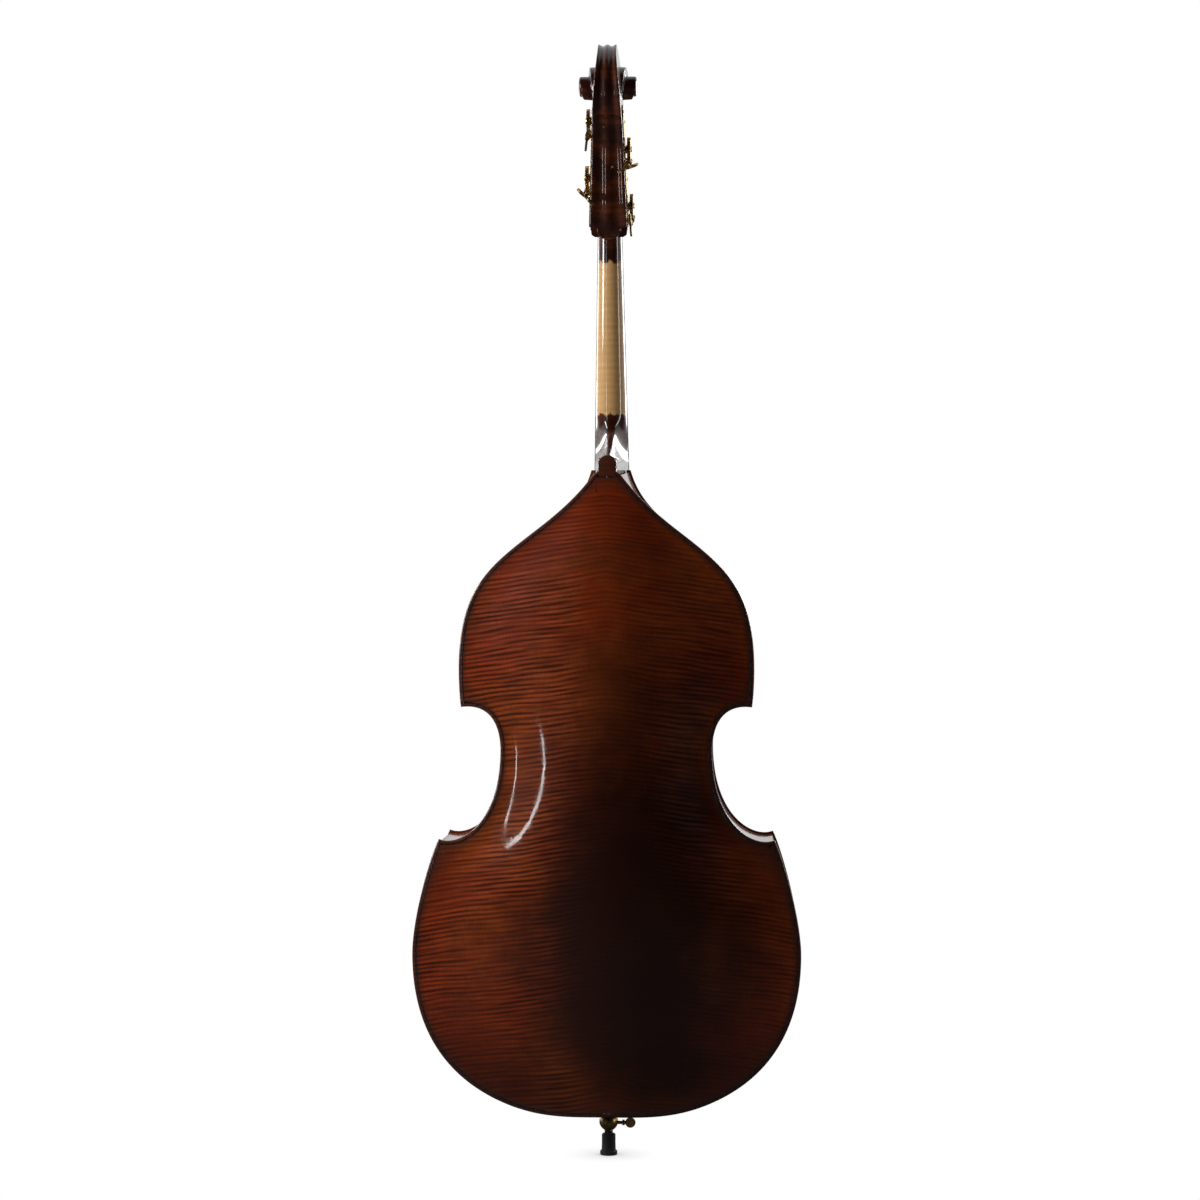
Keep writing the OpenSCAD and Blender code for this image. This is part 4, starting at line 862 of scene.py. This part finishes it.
def bridge_maple():
    s = Shader("bridge_maple")
    fleck = s.noise(s.scaled(120.0, 700.0, 300.0), 1.0, 2.0)
    tone = s.noise(s.coords, 12.0, 3.0)
    wood = s.mix(s.span(tone, 0.3, 0.7), (0.58, 0.36, 0.16), (0.70, 0.47, 0.23))
    wood = s.mix(s.span(fleck, 0.55, 0.68, 0.0, 0.6), wood, (0.36, 0.19, 0.07))
    s.set(Base_Color=wood, Roughness=0.45, Normal=s.bump(fleck, 0.15, 0.0003))
    return s.material


def brass():
    s = Shader("aged_brass")
    tarnish = s.noise(s.coords, 90.0, 5.0, 0.65)
    spots = s.noise(s.coords, 600.0, 3.0)
    colour = s.mix(s.span(tarnish, 0.35, 0.75), (0.66, 0.45, 0.17), (0.32, 0.20, 0.070))
    colour = s.mix(s.span(spots, 0.58, 0.75, 0.0, 0.7), colour, (0.16, 0.09, 0.035))
    s.set(Base_Color=colour, Metallic=1.0, Roughness=s.span(tarnish, 0.3, 0.8, 0.2, 0.45),
          Normal=s.bump(spots, 0.12, 0.0003))
    return s.material


def wound_steel():
    s = Shader("wound_steel")
    wrap = s.math("SINE", s.math("MULTIPLY", s.z, 2 * math.pi / 0.0007))
    tone = s.noise(s.coords, 200.0, 3.0)
    s.set(Base_Color=s.mix(s.span(tone, 0.3, 0.7), (0.50, 0.50, 0.52), (0.33, 0.32, 0.32)), Metallic=1.0,
          Roughness=0.34, Normal=s.bump(wrap, 0.3, 0.00008))
    return s.material


def plain_steel():
    s = Shader("plain_steel")
    brushed = s.noise(s.scaled(300.0, 300.0, 4000.0), 1.0, 2.0)
    s.set(Base_Color=s.mix(s.span(brushed, 0.3, 0.7), (0.52, 0.52, 0.54), (0.36, 0.36, 0.37)), Metallic=1.0,
          Roughness=s.span(brushed, 0.3, 0.7, 0.22, 0.36), Normal=s.bump(brushed, 0.08, 0.0002))
    return s.material


def rubber():
    s = Shader("rubber")
    dust = s.noise(s.coords, 260.0, 5.0, 0.7)
    s.set(Base_Color=s.mix(s.span(dust, 0.45, 0.8), (0.012, 0.012, 0.012), (0.07, 0.065, 0.06)),
          Roughness=s.span(dust, 0.3, 0.8, 0.6, 0.85), Normal=s.bump(dust, 0.25, 0.0005))
    return s.material


# ---- pieces ----
BACK_MAPLE = varnished_maple("varnished_maple")
RIB_MAPLE = varnished_maple("rib_maple", lean=0.05, steady=0.0)
BLACK_INLAY = inlay_black()
SPRUCE = varnished_spruce()
BODY = "instrument"
PLATE_RISE, BACK_THICK, FRONT_THICK = 30.0, 7.0, 9.0
BACK_ARCH_W, BACK_ARCH_TOP = 18, 1164
FRONT_ARCH_W, FRONT_ARCH_TOP = 24, 1172

back = carved_plate("back_carved", button_edge(), BACK, arch_half(BACK_ARCH_W, BACK_ARCH_TOP), 1,
                    PLATE_RISE, BACK_THICK, lambda r: 0.25 * r ** 1.6 + 0.75 * ease(r))
finish_piece(back, BACK_MAPLE, BODY, "maple_body", "back_plate")

front = carved_plate("front_carved", FRONT, FRONT, arch_half(FRONT_ARCH_W, FRONT_ARCH_TOP), -1,
                     PLATE_RISE, FRONT_THICK, lambda r: r ** 2.1)
NECK_NOTCH, SADDLE_HALF = 27.5, 22.0
for cutter in (sound_hole(1), sound_hole(-1),
               box_mesh("notch", (-NECK_NOTCH, -HALF_DEPTH - CUT_REACH, TOP - 3),
                        (NECK_NOTCH, -HALF_DEPTH + 10, TOP + 37)),
               box_mesh("notch", (-SADDLE_HALF, -HALF_DEPTH - 40, FOOT - 20),
                        (SADDLE_HALF, -HALF_DEPTH + 10, FOOT + 17))):
    boolean(front, cutter, "DIFFERENCE")
finish_piece(front, SPRUCE, BODY, "spruce_front", "front_plate", sharp_deg=35)

finish_piece(inlay("back_inlay", BACK, 1, 0, LAST_I + 1), BLACK_INLAY, BODY, "dark_inlay",
             "back_purfling", sharp_deg=60)
wide_enough = np.where(inward(FRONT, GROOVE_OUT)[:, 0] > SADDLE_HALF + 0.5)[0]
top_end = np.where(inward(FRONT, GROOVE_IN)[:, 0] > NECK_NOTCH + 0.5)[0][-1]
finish_piece(inlay("front_inlay", FRONT, -1, wide_enough[0], top_end), BLACK_INLAY, BODY, "dark_inlay",
             "front_purfling", sharp_deg=60)

for bout, first, last in (("lower", 0, LOWER_I), ("centre", LOWER_I, UPPER_I), ("upper", UPPER_I, NECK_I)):
    for side_name, mirror in (("treble", 1), ("bass", -1)):
        strip = rib_strip(f"{bout}_rib_{side_name}_bent", first, last, mirror)
        finish_piece(strip, RIB_MAPLE, BODY, "maple_body", f"{bout}_rib_{side_name}")

finish_piece(neck_and_scroll(), neck_maple(), BODY, "maple_body", "neck", sharp_deg=70)

BEVEL_FROM_DEG = 38
WELD_M = 2e-6


def finish_node(node, material, rounding):
    """Gives a CAD node its material, smooth shading and, where rounding is above 0, soft edges."""
    node.data.materials.clear()
    node.data.materials.append(material)
    if node.data.has_custom_normals:
        bpy.context.view_layer.objects.active = node
        bpy.ops.mesh.customdata_custom_splitnormals_clear()
    node.data.polygons.foreach_set("use_smooth", [True] * len(node.data.polygons))
    weld = node.modifiers.new("weld", "WELD")
    weld.merge_threshold = WELD_M
    if rounding:
        bevel = node.modifiers.new("bevel", "BEVEL")
        bevel.width = rounding * MM
        bevel.segments = 2
        bevel.limit_method = "ANGLE"
        bevel.angle_limit = math.radians(BEVEL_FROM_DEG)
        bevel.use_clamp_overlap = True
    weighted = node.modifiers.new("weighted", "WEIGHTED_NORMAL")
    weighted.weight = 60


# CAD nodes that stay, with their finish and the rounding of their edges in millimetres
INNER, EBONY, BRASS, WOUND = inner_wood(), ebony(), brass(), wound_steel()
STEEL, RUBBER, BRIDGE = plain_steel(), rubber(), bridge_maple()
FINISHES = [
    (INNER, 0, ["back_linings", "front_linings", "neck_block", "end_block", "corner_blocks", "bass_bar",
                "soundpost"]),
    (EBONY, 0.6, ["fingerboard", "nut", "tailpiece", "saddle"]),
    (BRIDGE, 0.5, ["bridge"]),
    (BRASS, 0.35, ["tuner_plate_treble", "tuner_plate_bass", "endpin_collar"]),
    (BRASS, 1.0, ["key_e", "key_g", "key_a", "key_d", "clamp_screw"]),
    (BRASS, 0.15, ["tuner_plate_screws"] + [f"{kind}_{n}" for n in "egad"
                                            for kind in ("post", "wheel", "wheel_screw", "worm")]),
    (WOUND, 0, [f"{kind}_{n}" for n in "egad" for kind in ("string", "string_wrap")]),
    (STEEL, 0, ["tail_wire", "endpin_rod"]),
    (RUBBER, 0.5, ["rubber_tip"]),
]
for material, rounding, names in FINISHES:
    for name in names:
        finish_node(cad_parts[name], material, rounding)

# ---- studio ----
SKY, SOFT_FILL = 0.75, 0.09


def white_world():
    """White to the camera. Reflections see it bright on the string side and dark on the back's side."""
    world = bpy.data.worlds.new("studio")
    bpy.context.scene.world = world
    world.use_nodes = True
    tree = world.node_tree
    tree.nodes.clear()
    out = tree.nodes.new("ShaderNodeOutputWorld")
    path = tree.nodes.new("ShaderNodeLightPath")
    coords = tree.nodes.new("ShaderNodeTexCoord")
    split = tree.nodes.new("ShaderNodeSeparateXYZ")
    tree.links.new(coords.outputs["Generated"], split.inputs[0])
    fade = tree.nodes.new("ShaderNodeMapRange")
    fade.interpolation_type = "SMOOTHSTEP"
    tree.links.new(split.outputs[1], fade.inputs[0])
    for i, v in enumerate((-0.15, 0.4, SKY, 0.0)):
        fade.inputs[i + 1].default_value = v
    fill = tree.nodes.new("ShaderNodeMix")
    tree.links.new(path.outputs["Is Diffuse Ray"], fill.inputs[0])
    tree.links.new(fade.outputs[0], fill.inputs[2])
    fill.inputs[3].default_value = SOFT_FILL
    seen = tree.nodes.new("ShaderNodeMix")
    tree.links.new(path.outputs["Is Camera Ray"], seen.inputs[0])
    tree.links.new(fill.outputs[0], seen.inputs[2])
    seen.inputs[3].default_value = 1.0
    shader = tree.nodes.new("ShaderNodeBackground")
    shader.inputs[0].default_value = (1, 1, 1, 1)
    tree.links.new(seen.outputs[0], shader.inputs[1])
    tree.links.new(shader.outputs[0], out.inputs[0])


def softbox(name, at, size, power, target):
    data = bpy.data.lights.new(name, "AREA")
    data.shape = "RECTANGLE"
    data.size, data.size_y = size
    data.energy = power
    light = bpy.data.objects.new(name, data)
    bpy.context.scene.collection.objects.link(light)
    light.location = at
    light.rotation_euler = (Vector(target) - Vector(at)).to_track_quat("-Z", "Y").to_euler()
    light.visible_camera = False


def floor_disc():
    reach, corners = 9.0, 96
    rim = [(reach * math.cos(math.tau * k / corners), reach * math.sin(math.tau * k / corners), 0)
           for k in range(corners)]
    obj = new_object("floor", rim, [tuple(range(corners))], scale=1.0)
    m = bpy.data.materials.new("pale_floor")
    m.use_nodes = True
    tree = m.node_tree
    tree.nodes.clear()
    out = tree.nodes.new("ShaderNodeOutputMaterial")
    # Painted shadow: ambient occlusion dims the floor's white glow around the endpin as a contact shadow
    near = tree.nodes.new("ShaderNodeAmbientOcclusion")
    near.inputs["Distance"].default_value = 0.07
    glow = tree.nodes.new("ShaderNodeEmission")
    glow.inputs[0].default_value = (1, 1, 1, 1)
    tree.links.new(near.outputs["AO"], glow.inputs[1])
    matte = tree.nodes.new("ShaderNodeBsdfDiffuse")
    matte.inputs[0].default_value = (0.07, 0.07, 0.07, 1)
    path = tree.nodes.new("ShaderNodeLightPath")
    pick = tree.nodes.new("ShaderNodeMixShader")
    tree.links.new(path.outputs["Is Camera Ray"], pick.inputs[0])
    tree.links.new(matte.outputs[0], pick.inputs[1])
    tree.links.new(glow.outputs[0], pick.inputs[2])
    tree.links.new(pick.outputs[0], out.inputs[0])
    obj.data.materials.append(m)


white_world()
floor_disc()
softbox("key_left", (2.75, 1.25, 1.8), (0.75, 1.7), 105, (0, 0, 1.0))
softbox("waist_strip", (1.88, 2.58, 0.74), (0.09, 0.60), 2.4, (0.1, 0.1, 0.60))
softbox("strip_right", (-2.6, 0.6, 1.1), (0.35, 1.6), 14, (0, 0, 1.0))
softbox("front_left", (-1.9, -2.6, 1.9), (1.2, 1.6), 60, (0, 0, 0.9))
softbox("front_right", (2.2, -2.3, 1.3), (0.6, 1.6), 26, (0, 0, 0.9))

EYE_LEVEL = 0.971
camera = bpy.data.objects.new("camera", bpy.data.cameras.new("camera"))
bpy.context.scene.collection.objects.link(camera)
camera.location = (-0.21, 5.0, EYE_LEVEL)
look_at = Vector((0.0094, 0.13, EYE_LEVEL))
camera.rotation_euler = (look_at - camera.location).to_track_quat("-Z", "Y").to_euler()
camera.data.lens = 85.7
camera.data.sensor_width = 36
bpy.context.scene.camera = camera
bpy.context.scene.view_settings.view_transform = "Standard"
